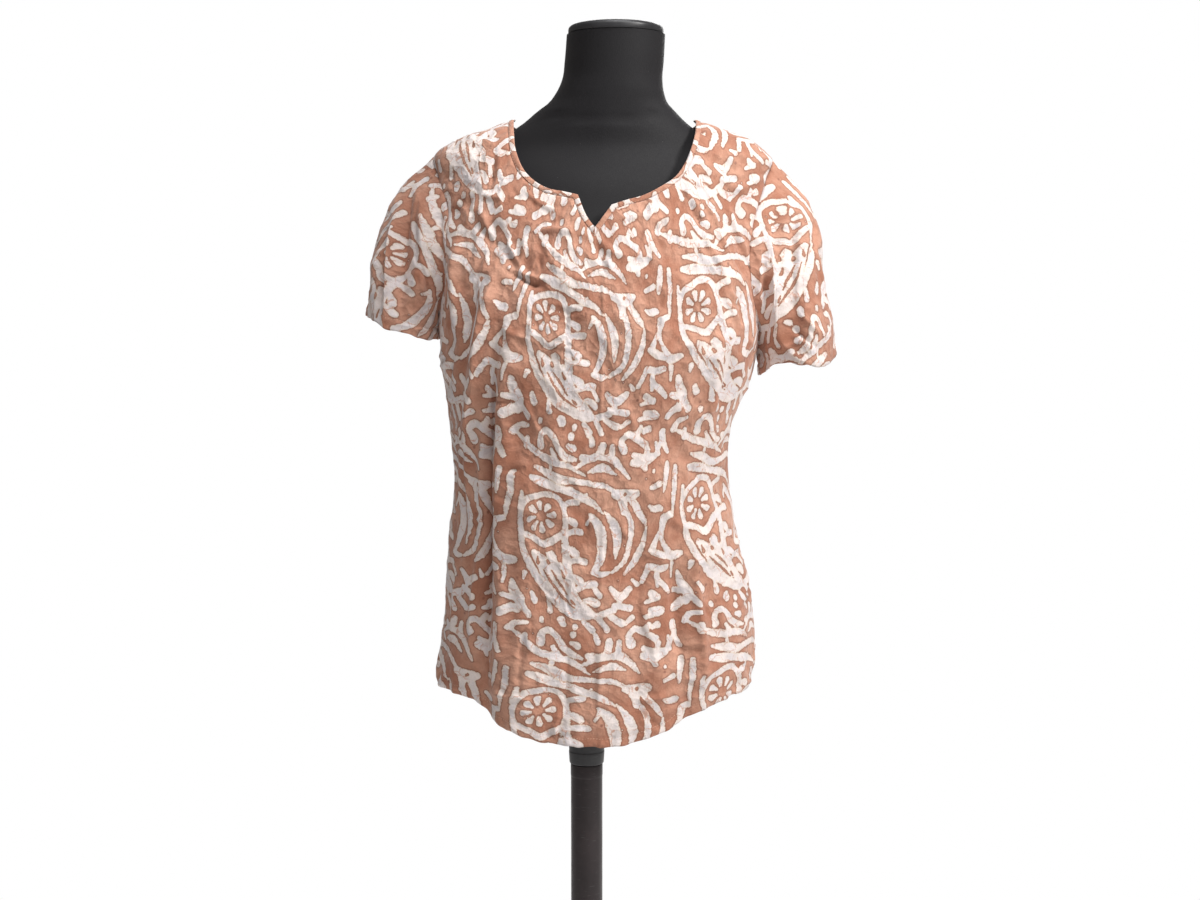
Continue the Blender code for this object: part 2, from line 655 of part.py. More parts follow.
def stand(black, steel):
    """The neck's cap, and below the form its socket, pole, foot and base."""
    neck_z, neck_x, _, front, back = FORM[-1, :5]
    cap = [(0.0, CAP_HEIGHT), (CAP_RADIUS - 0.004, CAP_HEIGHT), (CAP_RADIUS, CAP_HEIGHT - 0.003)]
    cap += [(CAP_RADIUS, 0.0), (0.0, 0.0)]
    turned("neck_cap", cap, black, (neck_x, (front + back) / 2, neck_z + PART_GAP))

    form_bottom = FORM[0, 0]
    socket = [(0.0, SOCKET_HEIGHT), (SOCKET_TOP_RADIUS, SOCKET_HEIGHT)]
    socket += [(POLE_RADIUS + 0.0015, 0.004), (POLE_RADIUS, 0.0), (0.0, 0.0)]
    socket_z = form_bottom - PART_GAP - SOCKET_HEIGHT
    turned("pole_socket", socket, black, (0, 0, socket_z))

    foot_top = BASE_HEIGHT + PART_GAP + FOOT_HEIGHT
    pole_bottom = foot_top + PART_GAP
    pole_length = socket_z - PART_GAP - pole_bottom
    bpy.ops.mesh.primitive_cylinder_add(vertices=ROUND_SEGMENTS, radius=POLE_RADIUS, depth=pole_length)
    pole = bpy.context.object
    pole.users_collection[0].objects.unlink(pole)
    pole.name = pole.data.name = "pole"
    pole.location = (0, 0, pole_bottom + pole_length / 2)
    link(pole, steel)

    foot = [(0.0, FOOT_HEIGHT), (POLE_RADIUS + 0.003, FOOT_HEIGHT), (POLE_RADIUS + 0.005, 0.041)]
    foot += [(POLE_RADIUS + 0.006, 0.012), (FOOT_RADIUS, 0.004), (FOOT_RADIUS, 0.0), (0.0, 0.0)]
    turned("pole_foot", foot, black, (0, 0, BASE_HEIGHT + PART_GAP))

    base = [(0.0, BASE_HEIGHT), (BASE_RADIUS - 0.010, BASE_HEIGHT), (BASE_RADIUS - 0.003, 0.011)]
    base += [(BASE_RADIUS, 0.007), (BASE_RADIUS, 0.002), (BASE_RADIUS - 0.002, 0.0), (0.0, 0.0)]
    turned("base", base, steel, (0, 0, 0))


def main():
    for obj in list(bpy.data.objects):
        bpy.data.objects.remove(obj)
    bpy.context.scene.collection.children.link(bpy.data.collections.new(COLLECTION))
    batik = material("batik_cotton", (0.62, 0.36, 0.26), 0.85)
    cover = material("form_cover", (0.024, 0.023, 0.026), 0.8)
    black = material("black_plastic", (0.02, 0.02, 0.022), 0.4)
    steel = material("black_steel", (0.025, 0.02, 0.02), 0.35, 0.6)
    for piece in blouse():
        mesh_object(piece.name, *piece.wall(), batik)
    dress_form(cover)
    stand(black, steel)


main()
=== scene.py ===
"""Batik blouse on a limbless dress form: the finish of every piece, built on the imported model.

Metres, +Z up, front towards -Y. The blouse's front, back and sleeves follow one surface
whose level sections are superellipses. Wax-printed cotton is laid on it from flat patterns,
with its folds, creases, seams and stitches. A section's angle is 0 at the right side seam
(+X), 90 degrees at the front, 180 at the left seam and 270 behind.
"""

import math

import bmesh
import bpy
import numpy as np
from mathutils import Matrix, Vector, noise
from mathutils.bvhtree import BVHTree
from mathutils.kdtree import KDTree


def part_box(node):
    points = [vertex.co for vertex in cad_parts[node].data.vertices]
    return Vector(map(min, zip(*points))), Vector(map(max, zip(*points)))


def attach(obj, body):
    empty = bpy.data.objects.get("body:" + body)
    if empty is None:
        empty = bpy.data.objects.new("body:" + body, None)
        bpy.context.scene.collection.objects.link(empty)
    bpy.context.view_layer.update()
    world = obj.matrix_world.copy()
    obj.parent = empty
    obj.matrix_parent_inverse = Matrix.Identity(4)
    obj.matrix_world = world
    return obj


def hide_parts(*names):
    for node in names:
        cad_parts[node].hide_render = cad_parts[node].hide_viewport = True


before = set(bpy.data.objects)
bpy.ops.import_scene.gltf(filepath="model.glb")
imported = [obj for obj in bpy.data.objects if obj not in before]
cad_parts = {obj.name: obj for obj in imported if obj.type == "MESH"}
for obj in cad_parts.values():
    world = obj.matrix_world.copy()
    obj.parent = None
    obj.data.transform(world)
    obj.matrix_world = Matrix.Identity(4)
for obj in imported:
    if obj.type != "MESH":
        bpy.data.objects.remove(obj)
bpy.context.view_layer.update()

# ---------------------------------------------------------------- sizes of the blouse

CLOTH_THICKNESS = 0.0009
BINDING_WIDTH = 0.006
BODY_POWER = 2.25

# Level sections of the blouse's body: z, left x, right x, front y, back y
BODY = np.array((
    (0.640, -0.178, 0.198, -0.118, 0.114),
    (0.700, -0.177, 0.199, -0.119, 0.115),
    (0.760, -0.168, 0.197, -0.120, 0.114),
    (0.820, -0.164, 0.188, -0.121, 0.112),
    (0.880, -0.158, 0.175, -0.122, 0.109),
    (0.940, -0.153, 0.164, -0.125, 0.106),
    (0.985, -0.154, 0.163, -0.128, 0.104),
    (1.030, -0.160, 0.177, -0.132, 0.104),
    (1.075, -0.164, 0.192, -0.136, 0.104),
    (1.110, -0.167, 0.198, -0.136, 0.105),
    (1.150, -0.170, 0.201, -0.130, 0.108),
    (1.200, -0.172, 0.205, -0.116, 0.108),
    (1.250, -0.173, 0.209, -0.097, 0.104),
    (1.290, -0.1745, 0.212, -0.080, 0.096),
    (1.318, -0.1737, 0.2124, -0.067, 0.088),
    (1.329, -0.161, 0.199, -0.060, 0.083),
    (1.339, -0.138, 0.178, -0.052, 0.078),
    (1.348, -0.112, 0.152, -0.043, 0.072),
    (1.359, -0.0825, 0.1246, -0.031, 0.063),
))
NECK_SIDE_Z = 1.359

# Side seams: section angle, vent's top, armpit, shoulder point
LEFT = {"angle": 180, "vent": 0.790, "pit": 1.125, "shoulder": 1.318}
RIGHT = {"angle": 0, "vent": 0.785, "pit": 1.095, "shoulder": 1.313}
VENT_SPREAD = 4.5

# How far the armholes cut into each panel, in degrees round the section
FRONT_ARMHOLE = 29
BACK_ARMHOLE = 26
ARMHOLE_POWER = 0.8

# Curved hems: fraction of the way across the panel, z
FRONT_HEM = np.array((
    (0.00, 0.740), (0.02, 0.722), (0.06, 0.708), (0.13, 0.703), (0.20, 0.696),
    (0.27, 0.675), (0.36, 0.660), (0.47, 0.654), (0.58, 0.655), (0.66, 0.667),
    (0.75, 0.688), (0.85, 0.700), (0.93, 0.706), (0.98, 0.722), (1.00, 0.742),
))
BACK_HEM = np.array((
    (0.00, 0.725), (0.02, 0.706), (0.06, 0.693), (0.15, 0.682), (0.30, 0.668),
    (0.50, 0.660), (0.70, 0.666), (0.85, 0.678), (0.94, 0.689), (0.98, 0.703),
    (1.00, 0.722),
))

# Front neckline, seen from the front: x, z
NECK_LEFT = (
    (-0.0815, 1.3377), (-0.0774, 1.3138), (-0.0688, 1.2949), (-0.0570, 1.2828),
    (-0.0430, 1.2750), (-0.0249, 1.2708), (-0.0088, 1.2670),
)
NOTCH = ((-0.0088, 1.2670), (0.0020, 1.2415), (0.0102, 1.2301), (0.0288, 1.2553))
NECK_RIGHT = (
    (0.0288, 1.2553), (0.0467, 1.2610), (0.0646, 1.2663), (0.0827, 1.2756),
    (0.0992, 1.2870), (0.1106, 1.3025), (0.1188, 1.3224), (0.1235, 1.3387),
)
BACK_NECK_DROP = 0.012

# Sleeves: w from seam to hem, top line x, z, underarm line x, z, middle y, half depth y
LEFT_SLEEVE = np.array((
    (0.0, -0.1737, 1.318, -0.1690, 1.125, -0.002, 0.055),
    (0.2, -0.2112, 1.280, -0.1700, 1.121, -0.002, 0.058),
    (0.4, -0.2310, 1.245, -0.1710, 1.117, -0.003, 0.061),
    (0.6, -0.2440, 1.210, -0.1720, 1.113, -0.004, 0.064),
    (0.8, -0.2510, 1.175, -0.1730, 1.109, -0.005, 0.067),
    (1.0, -0.2568, 1.131, -0.1740, 1.105, -0.006, 0.068),
))
RIGHT_SLEEVE = np.array((
    (0.0, 0.2124, 1.313, 0.1985, 1.095, -0.002, 0.055),
    (0.2, 0.2500, 1.272, 0.1995, 1.090, -0.002, 0.059),
    (0.4, 0.2670, 1.232, 0.2005, 1.086, -0.003, 0.063),
    (0.6, 0.2715, 1.190, 0.2012, 1.081, -0.004, 0.066),
    (0.8, 0.2825, 1.137, 0.2020, 1.077, -0.005, 0.068),
    (1.0, 0.2870, 1.083, 0.2030, 1.072, -0.006, 0.069),
))
LEFT_HEM_WAVE = (0.0025, 2, 40)
RIGHT_HEM_WAVE = (0.0060, 3, 100)

# Points along each stretch of a piece's edges, first for its plain form, then for its cloth
PLAIN = {
    "vent": 3, "side": 12, "arm": 12, "shoulder": 5, "neck": 8, "notch": 3, "nape": 14, "crowding": 1.0,
}
FINE = {
    "vent": 20, "side": 100, "arm": 84, "shoulder": 30, "neck": 54, "notch": 20, "nape": 116,
    "crowding": 0.4,
}
SLEEVE_ROWS = 72
PLAIN_EASE_STEPS = 10
FINE_EASE_STEPS = 8
# Flattening: every sixth row and column first, then all of them
FLAT_PART = 6
FLAT_PART_STEPS = 600
FLAT_STEPS = 80
FLAT_PULL = 1.6
GIRTH_STEPS = 180
GIRTH_Z = 0.70
TOP_WEIGHTS = (1, 0.4, 0.4)

# ---------------------------------------------------------------- folds and creases

# Largest folds: top x, z, bottom x, z, half width, depth into the cloth, side
FRONT = -1
BACK = 1
FOLD_START = 0.35
FOLD_EDGE = 0.03
FOLDS = (
    (-0.096, 1.130, -0.108, 0.655, 0.019, 0.016, FRONT),
    (-0.066, 1.060, -0.082, 0.650, 0.020, -0.006, FRONT),
    (0.060, 0.960, 0.056, 0.660, 0.016, 0.006, FRONT),
    (0.098, 0.900, 0.104, 0.690, 0.020, 0.007, FRONT),
    (0.150, 1.290, 0.196, 1.150, 0.016, 0.006, FRONT),
    (0.222, 1.270, 0.236, 1.080, 0.014, 0.012, FRONT),
    (-0.205, 1.260, -0.212, 1.110, 0.014, 0.006, FRONT),
    (-0.120, 1.240, -0.060, 1.170, 0.016, 0.005, FRONT),
    (-0.075, 1.080, -0.100, 0.680, 0.020, 0.010, BACK),
    (0.020, 1.020, 0.015, 0.680, 0.022, 0.006, BACK),
    (0.110, 1.100, 0.125, 0.700, 0.020, 0.009, BACK),
    (0.170, 1.280, 0.195, 1.140, 0.016, 0.006, BACK),
    (-0.140, 1.280, -0.160, 1.150, 0.016, 0.005, BACK),
)

# Creases: from x, z to x, z, bow, half width, height (a trough is negative), in millimetres
CREASES = {
    FRONT: (
        # from the left shoulder down to the bust
        (-122, 1270, -83, 1261, 2, 3.2, 3.2), (-146, 1279, -120, 1277, 0, 3.0, -2.2),
        (-124, 1254, -102, 1211, -3, 3.4, 4.2), (-120, 1268, -158, 1238, 2, 4.5, -3.4),
        (-87, 1223, -62, 1172, 4, 3.4, 4.0), (-90, 1205, -70, 1180, -2, 2.6, -2.4),
        (-54, 1226, -8, 1222, -3, 3.0, 3.6), (-50, 1216, -16, 1190, 2, 3.6, 2.6),
        (-94, 1192, -30, 1171, 6, 3.0, 4.0), (-84, 1186, -38, 1163, 5, 3.2, -3.0),
        (-52, 1198, -48, 1180, 0, 2.2, -2.4), (-106, 1205, -118, 1140, 3, 3.6, 3.4),
        (-112, 1196, -126, 1120, -2, 3.6, -3.0), (-98, 1186, -104, 1124, 2, 3.0, 3.0),
        (-140, 1236, -138, 1090, 4, 4.0, 2.8), (-153, 1226, -150, 1060, -3, 4.0, -2.6),
        # beside the notch and across the bust
        (10, 1222, 46, 1194, 4, 3.4, 3.0), (16, 1203, 52, 1190, -2, 2.6, 2.4),
        (12, 1214, 24, 1176, 2, 2.6, -2.0), (30, 1238, 70, 1246, 2, 3.4, 2.4),
        (-75, 1278, -12, 1240, 5, 3.2, 2.0), (-64, 1292, -24, 1262, 3, 2.4, -1.6),
        # pressed marks down the middle
        (-20, 1152, -21, 1098, 0, 1.6, -1.5), (8, 1186, 7, 1156, 0, 1.5, -1.4),
        (18, 1176, 20, 1120, 0, 1.6, 1.5), (19, 1110, 17, 960, 1, 1.8, 1.3),
        (20, 950, 14, 800, -1, 2.2, 1.3),
        # from the right shoulder towards the armpit
        (112, 1330, 160, 1308, 2, 3.2, 2.6), (118, 1318, 182, 1290, -2, 3.0, -2.4),
        (126, 1304, 190, 1270, 3, 3.2, 2.8), (108, 1280, 150, 1214, 3, 3.2, 3.4),
        (112, 1262, 146, 1206, 2, 2.8, -2.6), (124, 1246, 160, 1170, 4, 3.2, 3.4),
        (136, 1262, 176, 1180, 3, 3.4, 3.4), (144, 1252, 184, 1166, 3, 2.8, -3.0),
        (156, 1270, 190, 1186, 3, 3.0, 3.2), (140, 1220, 176, 1130, 5, 3.4, 3.2),
        (118, 1210, 150, 1160, 3, 3.4, -2.4), (148, 1170, 180, 1110, 3, 3.6, 3.0),
        # down the left front, beside the deep trough
        (-92, 1110, -104, 1020, 2, 3.0, 3.2), (-84, 1030, -82, 960, -2, 2.8, 3.0),
        (-92, 1000, -94, 880, 2, 3.0, -3.0), (-126, 1050, -134, 900, 3, 4.0, 3.0),
        (-140, 980, -142, 860, -3, 3.6, -2.6), (-120, 880, -132, 730, 3, 4.2, 3.4),
        (-146, 850, -156, 730, 2, 3.4, 2.6), (-88, 870, -96, 700, -3, 3.4, 2.8),
        (-66, 800, -74, 680, 3, 3.4, -2.4), (-106, 760, -86, 700, 3, 3.4, 3.2),
        # belly, right side and hem
        (-50, 930, 12, 905, 8, 5.0, 1.8), (-44, 836, 30, 852, -6, 5.0, 1.6),
        (30, 1010, 82, 996, 5, 4.4, 1.8), (90, 1050, 150, 990, 7, 4.4, 2.4),
        (98, 990, 148, 940, 6, 4.2, -2.2), (74, 930, 130, 890, 6, 4.2, 2.4),
        (60, 840, 88, 720, 4, 4.4, 2.4), (120, 850, 132, 740, -3, 4.4, 2.6),
        (148, 830, 170, 730, 3, 4.0, 2.4), (20, 790, 14, 670, 2, 4.2, 2.2),
        (-22, 780, -26, 668, -2, 4.0, -2.0), (50, 704, 110, 716, 4, 3.2, 3.0),
        (70, 690, 140, 722, 4, 3.0, -2.6), (96, 722, 160, 744, 4, 3.0, 2.8),
        (-40, 672, 20, 676, 3, 2.8, 1.8),
        # sleeves
        (226, 1290, 232, 1140, 3, 4.5, 5.0), (214, 1270, 218, 1110, -2, 3.6, -4.0),
        (246, 1270, 238, 1130, 3, 3.2, 3.6), (262, 1250, 246, 1180, -3, 3.0, -3.6),
        (236, 1140, 280, 1104, 4, 3.2, 3.6), (232, 1122, 276, 1092, 4, 3.2, -3.0),
        (222, 1110, 250, 1076, 3, 3.4, 3.2), (262, 1206, 280, 1150, 3, 3.2, 3.0),
        (-186, 1292, -204, 1180, 3, 4.0, 3.4), (-196, 1260, -190, 1130, -3, 3.4, -3.2),
        (-216, 1240, -222, 1130, 3, 3.4, 3.2), (-232, 1200, -240, 1120, 2, 3.0, 2.6),
        (-182, 1200, -206, 1130, 3, 3.2, 2.8), (-200, 1180, -244, 1150, 4, 3.4, -2.4),
    ),
    BACK: (
        (-110, 1300, -40, 1250, 6, 4.0, 2.4), (150, 1300, 76, 1246, -6, 4.0, 2.4),
        (-130, 1230, -100, 1120, 4, 4.0, 2.6), (-144, 1200, -128, 1090, -3, 3.6, -2.6),
        (164, 1220, 140, 1110, 4, 4.0, 2.6), (180, 1190, 164, 1080, 3, 3.6, -2.6),
        (-60, 1000, 50, 976, 9, 5.0, 2.0), (-50, 960, 80, 950, -8, 5.0, 1.8),
        (60, 1040, 130, 990, 6, 4.4, 2.4), (-120, 1040, -70, 980, 6, 4.4, 2.4),
        (-40, 900, -52, 720, 4, 4.6, 2.6), (60, 900, 70, 700, -4, 4.6, 2.8),
        (150, 860, 166, 720, 3, 4.0, 2.6), (-130, 860, -146, 720, 3, 4.0, 2.6),
        (0, 800, -6, 680, 3, 4.0, 2.0), (-210, 1260, -214, 1130, 3, 4.0, 3.0),
        (-234, 1210, -236, 1120, -2, 3.4, -2.6), (240, 1260, 246, 1110, 3, 4.0, 3.2),
        (222, 1230, 220, 1110, -3, 3.4, -3.0), (264, 1200, 270, 1110, 2, 3.2, 2.6),
    ),
}
# The deepest troughs and the ridges beside them, in the same form
TROUGHS = {
    FRONT: (
        (-93.5, 1150, -105.5, 672, 3, 6.0, -9.5), (-82.5, 1130, -93.5, 680, 4, 7.5, 7.5),
        (-109, 1090, -118, 700, 3, 6.5, 4.0), (-98, 1200, -125, 1010, 5, 6.5, 5.5),
        (-122, 1060, -144, 930, 4, 6.5, 4.5), (-113, 1190, -142, 980, 6, 6.5, -4.5),
        (-170, 1290, -161, 1120, -2, 5.0, -7.0), (-156, 1260, -148, 1110, -2, 6.5, 4.5),
        (-182, 1290, -190, 1110, 2, 6.5, 5.5), (-199, 1280, -206, 1115, 2, 6.0, -7.0),
        (-213, 1265, -222, 1110, 3, 6.0, 6.5), (-228, 1235, -236, 1110, 2, 5.0, -6.0),
        (-238, 1215, -245, 1120, 2, 5.0, 4.0), (203, 1236, 206, 1112, 2, 6.0, -7.5),
        (219, 1262, 223, 1100, 3, 5.5, 5.5), (150, 1130, 142, 960, 6, 7.5, 4.5),
        (164, 1110, 154, 960, 5, 6.5, -4.0), (120, 900, 142, 690, 5, 8.0, 4.5),
        (96, 880, 116, 690, 5, 7.5, -4.5),
    ),
    BACK: (
        (-88, 1060, -102, 700, 4, 7.0, -7.5), (-72, 1040, -84, 700, 4, 7.5, 5.0),
        (104, 1060, 122, 690, 4, 7.0, -7.0), (88, 1060, 106, 700, 4, 7.5, 4.5),
        (148, 1160, 140, 960, 5, 7.0, 4.5), (-120, 1180, -122, 980, 5, 7.0, 4.5),
    ),
}
# Ridges that lean over the trough beside them: from x, z to x, z, half width, reach, in millimetres
LEANING = {
    FRONT: (
        (-86, 1140, -96.5, 680, 12, -9.0), (-102, 1195, -128, 1000, 11, -5.5),
        (218, 1262, 222, 1100, 9, -5.5), (-211, 1270, -220, 1110, 9, -5.0),
        (-152, 1260, -145, 1110, 9, -5.0),
    ),
    BACK: (
        (-78, 1050, -90, 700, 12, -7.0), (94, 1060, 112, 690, 12, 7.0),
    ),
}
SCATTERED = {
    "count": 260, "length": (0.018, 0.062), "half": (0.0018, 0.0042), "height": (0.0012, 0.0034),
}
SCATTER_AREA = ((-0.26, 0.29), (0.65, 1.34))
CREASE_GAIN = 1.3
CREASE_LIMIT = 0.0075
FORM_CLEARANCE = 0.0028
NEAR_FORM = 0.05

# Crumpling all over: waves of a size and height, and facets of a size and slope
WAVES = ((0.110, 0.0036), (0.046, 0.0018))
FACETS = ((0.040, 0.17), (0.021, 0.15), (0.011, 0.10))
SEAM_DEPTH = 0.0009
SEAM_HALF_WIDTH = 0.0022
HEM_DEPTH = 0.012
SLEEVE_HEM_DEPTH = 0.015
HEM_RIPPLE = 0.0042
HEM_UNEVEN = 0.0030
HEM_STITCH_INSET = 0.002
HEM_ROWS = 40
PUCKER = {"height": 0.0011, "size": 0.009, "reach": 0.008}

# Stitches: distance between them, length, thickness
STITCH_STEP = 0.0033
STITCH_SIZE = (0.0022, 0.00042, 0.0003)
STITCH_AHEAD = 0.0005
STITCH_PROUD = 0.00008

# ---------------------------------------------------------------- the wax print

# One repeat, in millimetres from the middle of its rosette. A stroke is a row of
# x, y, half width; waxed strokes stay white and dyed ones are cut out of them.
REPEAT = (200, 214)
PETALS = 8
PETAL = {"inner": 8.0, "outer": 14.5, "inner_half": 2.0, "outer_half": 3.9}
# Coral fingers down the paisley's right: root x, y, tip x, y, tip's half width
FINGERS = (
    (28, 13, 45, 17, 3.6), (29, -2, 41, -6, 4.2), (29, -17, 49, -15, 3.6), (30, -31, 42, -37, 4.4),
    (31, -45, 52, -45, 3.8), (33, -60, 46, -67, 4.2), (42, -74, 62, -71, 3.8), (52, -86, 64, -92, 4.4),
)
FINGER_ROOT_HALF = 2.6
WAXED = (
    # paisley: outline and belly, arch, point under the rosette, spine and heart
    ((-23, 24, 2.4), (-25, 8, 3.0), (-25, -14, 3.2), (-22, -31, 3.4), (-13, -53, 4.0), (5, -76, 4.8),
     (26, -94, 5.0), (48, -104, 4.8), (68, -105, 2.6)),
    ((-25, 8, 2.8), (-16, 19, 3.0), (-5, 23, 3.0), (9, 26, 3.2), (21, 22, 3.2), (27, 10, 3.2),
     (28, -20, 3.6)),
    ((-22, -18, 3.0), (-9, -23, 3.2), (4, -30, 3.6), (15, -24, 3.4), (27, -15, 3.2)),
    ((28, -18, 4.0), (30, -42, 4.6), (32, -62, 5.4), (37, -80, 6.4), (48, -94, 6.0), (58, -101, 3.5)),
    ((-8, -40, 4.0), (4, -52, 8.0), (14, -66, 9.5), (27, -82, 9.0), (42, -95, 6.5)),
    ((12, -40, 5.0), (20, -55, 7.5), (30, -74, 7.0)),
    # nested crescents to the paisley's right
    ((60, 6, 2.0), (70, -6, 4.8), (74, -24, 5.6), (70, -42, 4.6), (61, -58, 3.0)),
    ((62, 4, 2.4), (56, -6, 2.0)),
    ((61, -58, 3.2), (70, -61, 3.2), (79, -60, 1.2)),
    ((78, 8, 1.0), (88, -10, 4.4), (91, -26, 4.6), (87, -44, 1.2)),
    ((96, 16, 3.0), (107, -6, 3.4), (107, -28, 3.6), (99, -47, 3.4), (82, -60, 2.0)),
    ((126, -14, 1.6), (123, -32, 3.2), (114, -48, 4.0), (99, -62, 2.0)),
    # forked head above them, with two legs
    ((90, 25, 4.5), (103, 22, 6.5), (116, 24, 4.5)),
    ((102, 20, 4.5), (99, 4, 3.4)),
    ((108, 20, 4.0), (119, 2, 3.6), (125, -10, 2.0)),
    # sweeping arcs over the paisley's head
    ((-34, 88, 1.6), (-12, 74, 3.6), (12, 64, 4.2), (34, 58, 3.4), (52, 47, 1.4)),
    ((-8, 55, 2.2), (12, 48, 5.0), (26, 42, 4.6), (48, 40, 3.0), (74, 36, 3.2), (92, 27, 1.8)),
    ((42, 55, 1.6), (58, 64, 3.2), (80, 64, 3.6), (97, 54, 3.2), (108, 40, 1.6)),
    ((56, 50, 1.2), (74, 54, 4.0), (92, 46, 1.4)),
    ((-12, 42, 3.6), (4, 38, 5.2), (20, 34, 4.0), (44, 26, 4.6), (62, 18, 3.4), (76, 6, 1.2)),
    ((112, 58, 4.2), (124, 58, 6.2), (138, 60, 4.4)),
    ((122, 58, 5.0), (126, 48, 3.0)),
    # strokes and blobs down the paisley's left
    ((-32, 44, 3.2), (-34, 28, 3.0), (-38, 12, 2.4), (-40, -2, 1.2)),
    ((-44, 48, 3.4), (-47, 34, 3.6), (-50, 22, 1.6)),
    ((-52, -8, 5.0), (-55, -22, 2.4), (-50, -38, 2.6), (-42, -50, 4.8), (-31, -48, 3.2)),
    ((-50, -6, 3.6), (-43, -4, 3.8)),
    ((-68, -38, 3.2), (-58, -44, 3.6), (-47, -48, 3.2)),
    ((-71, -56, 3.4), (-60, -60, 3.6), (-50, -60, 3.2)),
    ((-42, -58, 2.6), (-44, -74, 1.6)),
    ((-65, -70, 2.4), (-58, -80, 3.4), (-51, -90, 2.6)),
    ((-35, -70, 2.6), (-33, -82, 4.8), (-28, -92, 6.0), (-31, -103, 4.8)),
    ((-29, -93, 4.6), (-43, -90, 3.4)),
    ((-30, -99, 4.4), (-45, -109, 4.8)),
    ((-25, -98, 3.8), (-17, -108, 4.0)),
    ((-13, -84, 3.2), (-9, -92, 4.4)),
    ((-20, -60, 3.4), (-22, -66, 2.0)),
    ((-73, -88, 4.6), (-71, -90, 4.6)),
    ((-74, -106, 3.8), (-66, -107, 5.2)),
    ((-75, -124, 3.2), (-69, -122, 4.2)),
    # small shapes under the belly
    ((9, -88, 2.2), (11, -100, 3.8)),
    ((0, -111, 3.2), (0, -112, 3.2)),
    ((24, -108, 4.6), (25, -112, 4.2)),
    ((39, -115, 3.4), (39, -116, 3.4)),
    ((50, -112, 3.2), (57, -122, 4.4)),
    ((65, -108, 3.4), (73, -123, 3.4)),
    ((68, -105, 4.0), (82, -101, 4.2)),
    ((78, -108, 3.6), (90, -117, 4.6)),
    ((84, -96, 3.8), (102, -102, 4.4)),
    ((80, -78, 3.2), (90, -87, 4.4), (103, -80, 4.0)),
    ((90, -87, 3.6), (89, -96, 2.4)),
    # scroll, bars and a small tree below
    ((0, -134, 5.2), (1, -125, 3.0), (9, -120, 3.0), (17, -126, 3.2), (22, -137, 3.4),
     (31, -146, 3.6), (43, -150, 2.2)),
    ((33, -134, 3.0), (39, -137, 4.4)),
    ((36, -124, 3.8), (36, -125, 3.8)),
    ((13, -139, 2.6), (18, -149, 4.2)),
    ((-18, -117, 2.4), (-30, -119, 2.8), (-36, -126, 3.6)),
    ((-19, -131, 3.4), (-20, -138, 4.0)),
    ((-50, -126, 4.6), (-48, -140, 3.2), (-42, -152, 2.8)),
    ((-49, -136, 3.0), (-58, -150, 3.2)),
    ((50, -147, 3.8), (61, -149, 3.4), (70, -146, 3.6), (75, -136, 4.6)),
    ((62, -134, 3.8), (60, -128, 3.0)),
    ((86, -138, 3.4), (85, -147, 4.4)),
    ((100, -142, 5.4), (97, -133, 3.0), (105, -126, 3.2), (114, -129, 3.6)),
    ((114, -129, 3.6), (127, -138, 4.4)),
    ((114, -129, 3.6), (121, -120, 3.0)),
    ((113, -148, 3.4), (125, -152, 3.8)),
    ((95, -118, 2.6), (104, -113, 3.6)),
    ((118, -112, 2.6), (138, -108, 4.2)),
    ((120, -96, 2.2), (134, -93, 3.8)),
    # between the crescents and the next paisley
    ((134, 28, 2.8), (144, 30, 3.6)),
    ((130, 8, 1.6), (136, 4, 3.4), (143, 4, 4.2)),
    ((142, -22, 2.2), (136, -34, 3.8)),
    ((128, -58, 3.4), (118, -74, 2.6)),
    ((136, -66, 3.6), (134, -80, 2.6)),
    ((108, -70, 2.2), (112, -76, 3.2)),
    ((-56, 62, 3.2), (-58, 76, 2.2)),
    ((62, -76, 2.8), (68, -84, 3.2)),
    ((12, -157, 2.8), (12, -158, 2.8)),
    ((88, -150, 2.2), (94, -156, 3.0)),
    ((136, 44, 2.0), (136, 43, 2.0)),
    ((54, 28, 1.6), (54, 27, 1.6)),
    ((-70, -144, 4.0), (-72, -152, 3.4)),
)
DYED = (
    ((-16, -28, 1.0), (-6, -32, 1.3), (4, -38, 1.5), (15, -32, 1.3), (25, -26, 0.9)),
    ((-4, -44, 0.8), (-3, -50, 2.4)),
    ((9, -48, 1.8), (10, -50, 2.2)),
    ((21, -42, 1.8), (22, -45, 2.2)),
    ((4, -58, 0.7), (14, -70, 1.4), (26, -83, 1.5), (40, -94, 0.6)),
    ((13, -58, 0.7), (22, -68, 1.5), (31, -80, 0.7)),
    ((24, -56, 0.8), (27, -62, 2.0)),
    ((36, -86, 0.8), (39, -90, 1.8)),
    ((103, 23, 1.6), (104, 24, 1.6)),
    ((-36, -96, 1.2), (-34, -97, 1.4)),
)
STROKE_SAMPLES = 3
WIDEST_RUN = 10
WAXED_LAYERS = 4
PRINT_SPREAD = -0.0001
PRINT_BLEND = 0.0032
PRINT_WANDER = ((0.045, 0.0022), (0.018, 0.0008))
MILLIMETRE = 0.001

# Where a rosette sits on each piece: a point near the cloth, and the print's turn in degrees
PRINT_PLACES = {
    "blouse_front": ((-0.042, -0.13, 1.130), -2.0),
    "blouse_back": ((0.030, 0.11, 1.080), 1.5),
    "blouse_sleeve_left": ((-0.222, -0.06, 1.205), 8.0),
    "blouse_sleeve_right": ((0.232, -0.06, 1.250), -10.0),
    "blouse_neck_binding": ((-0.030, -0.08, 1.270), 62.0),
}

# ---------------------------------------------------------------- sizes of the form and stand

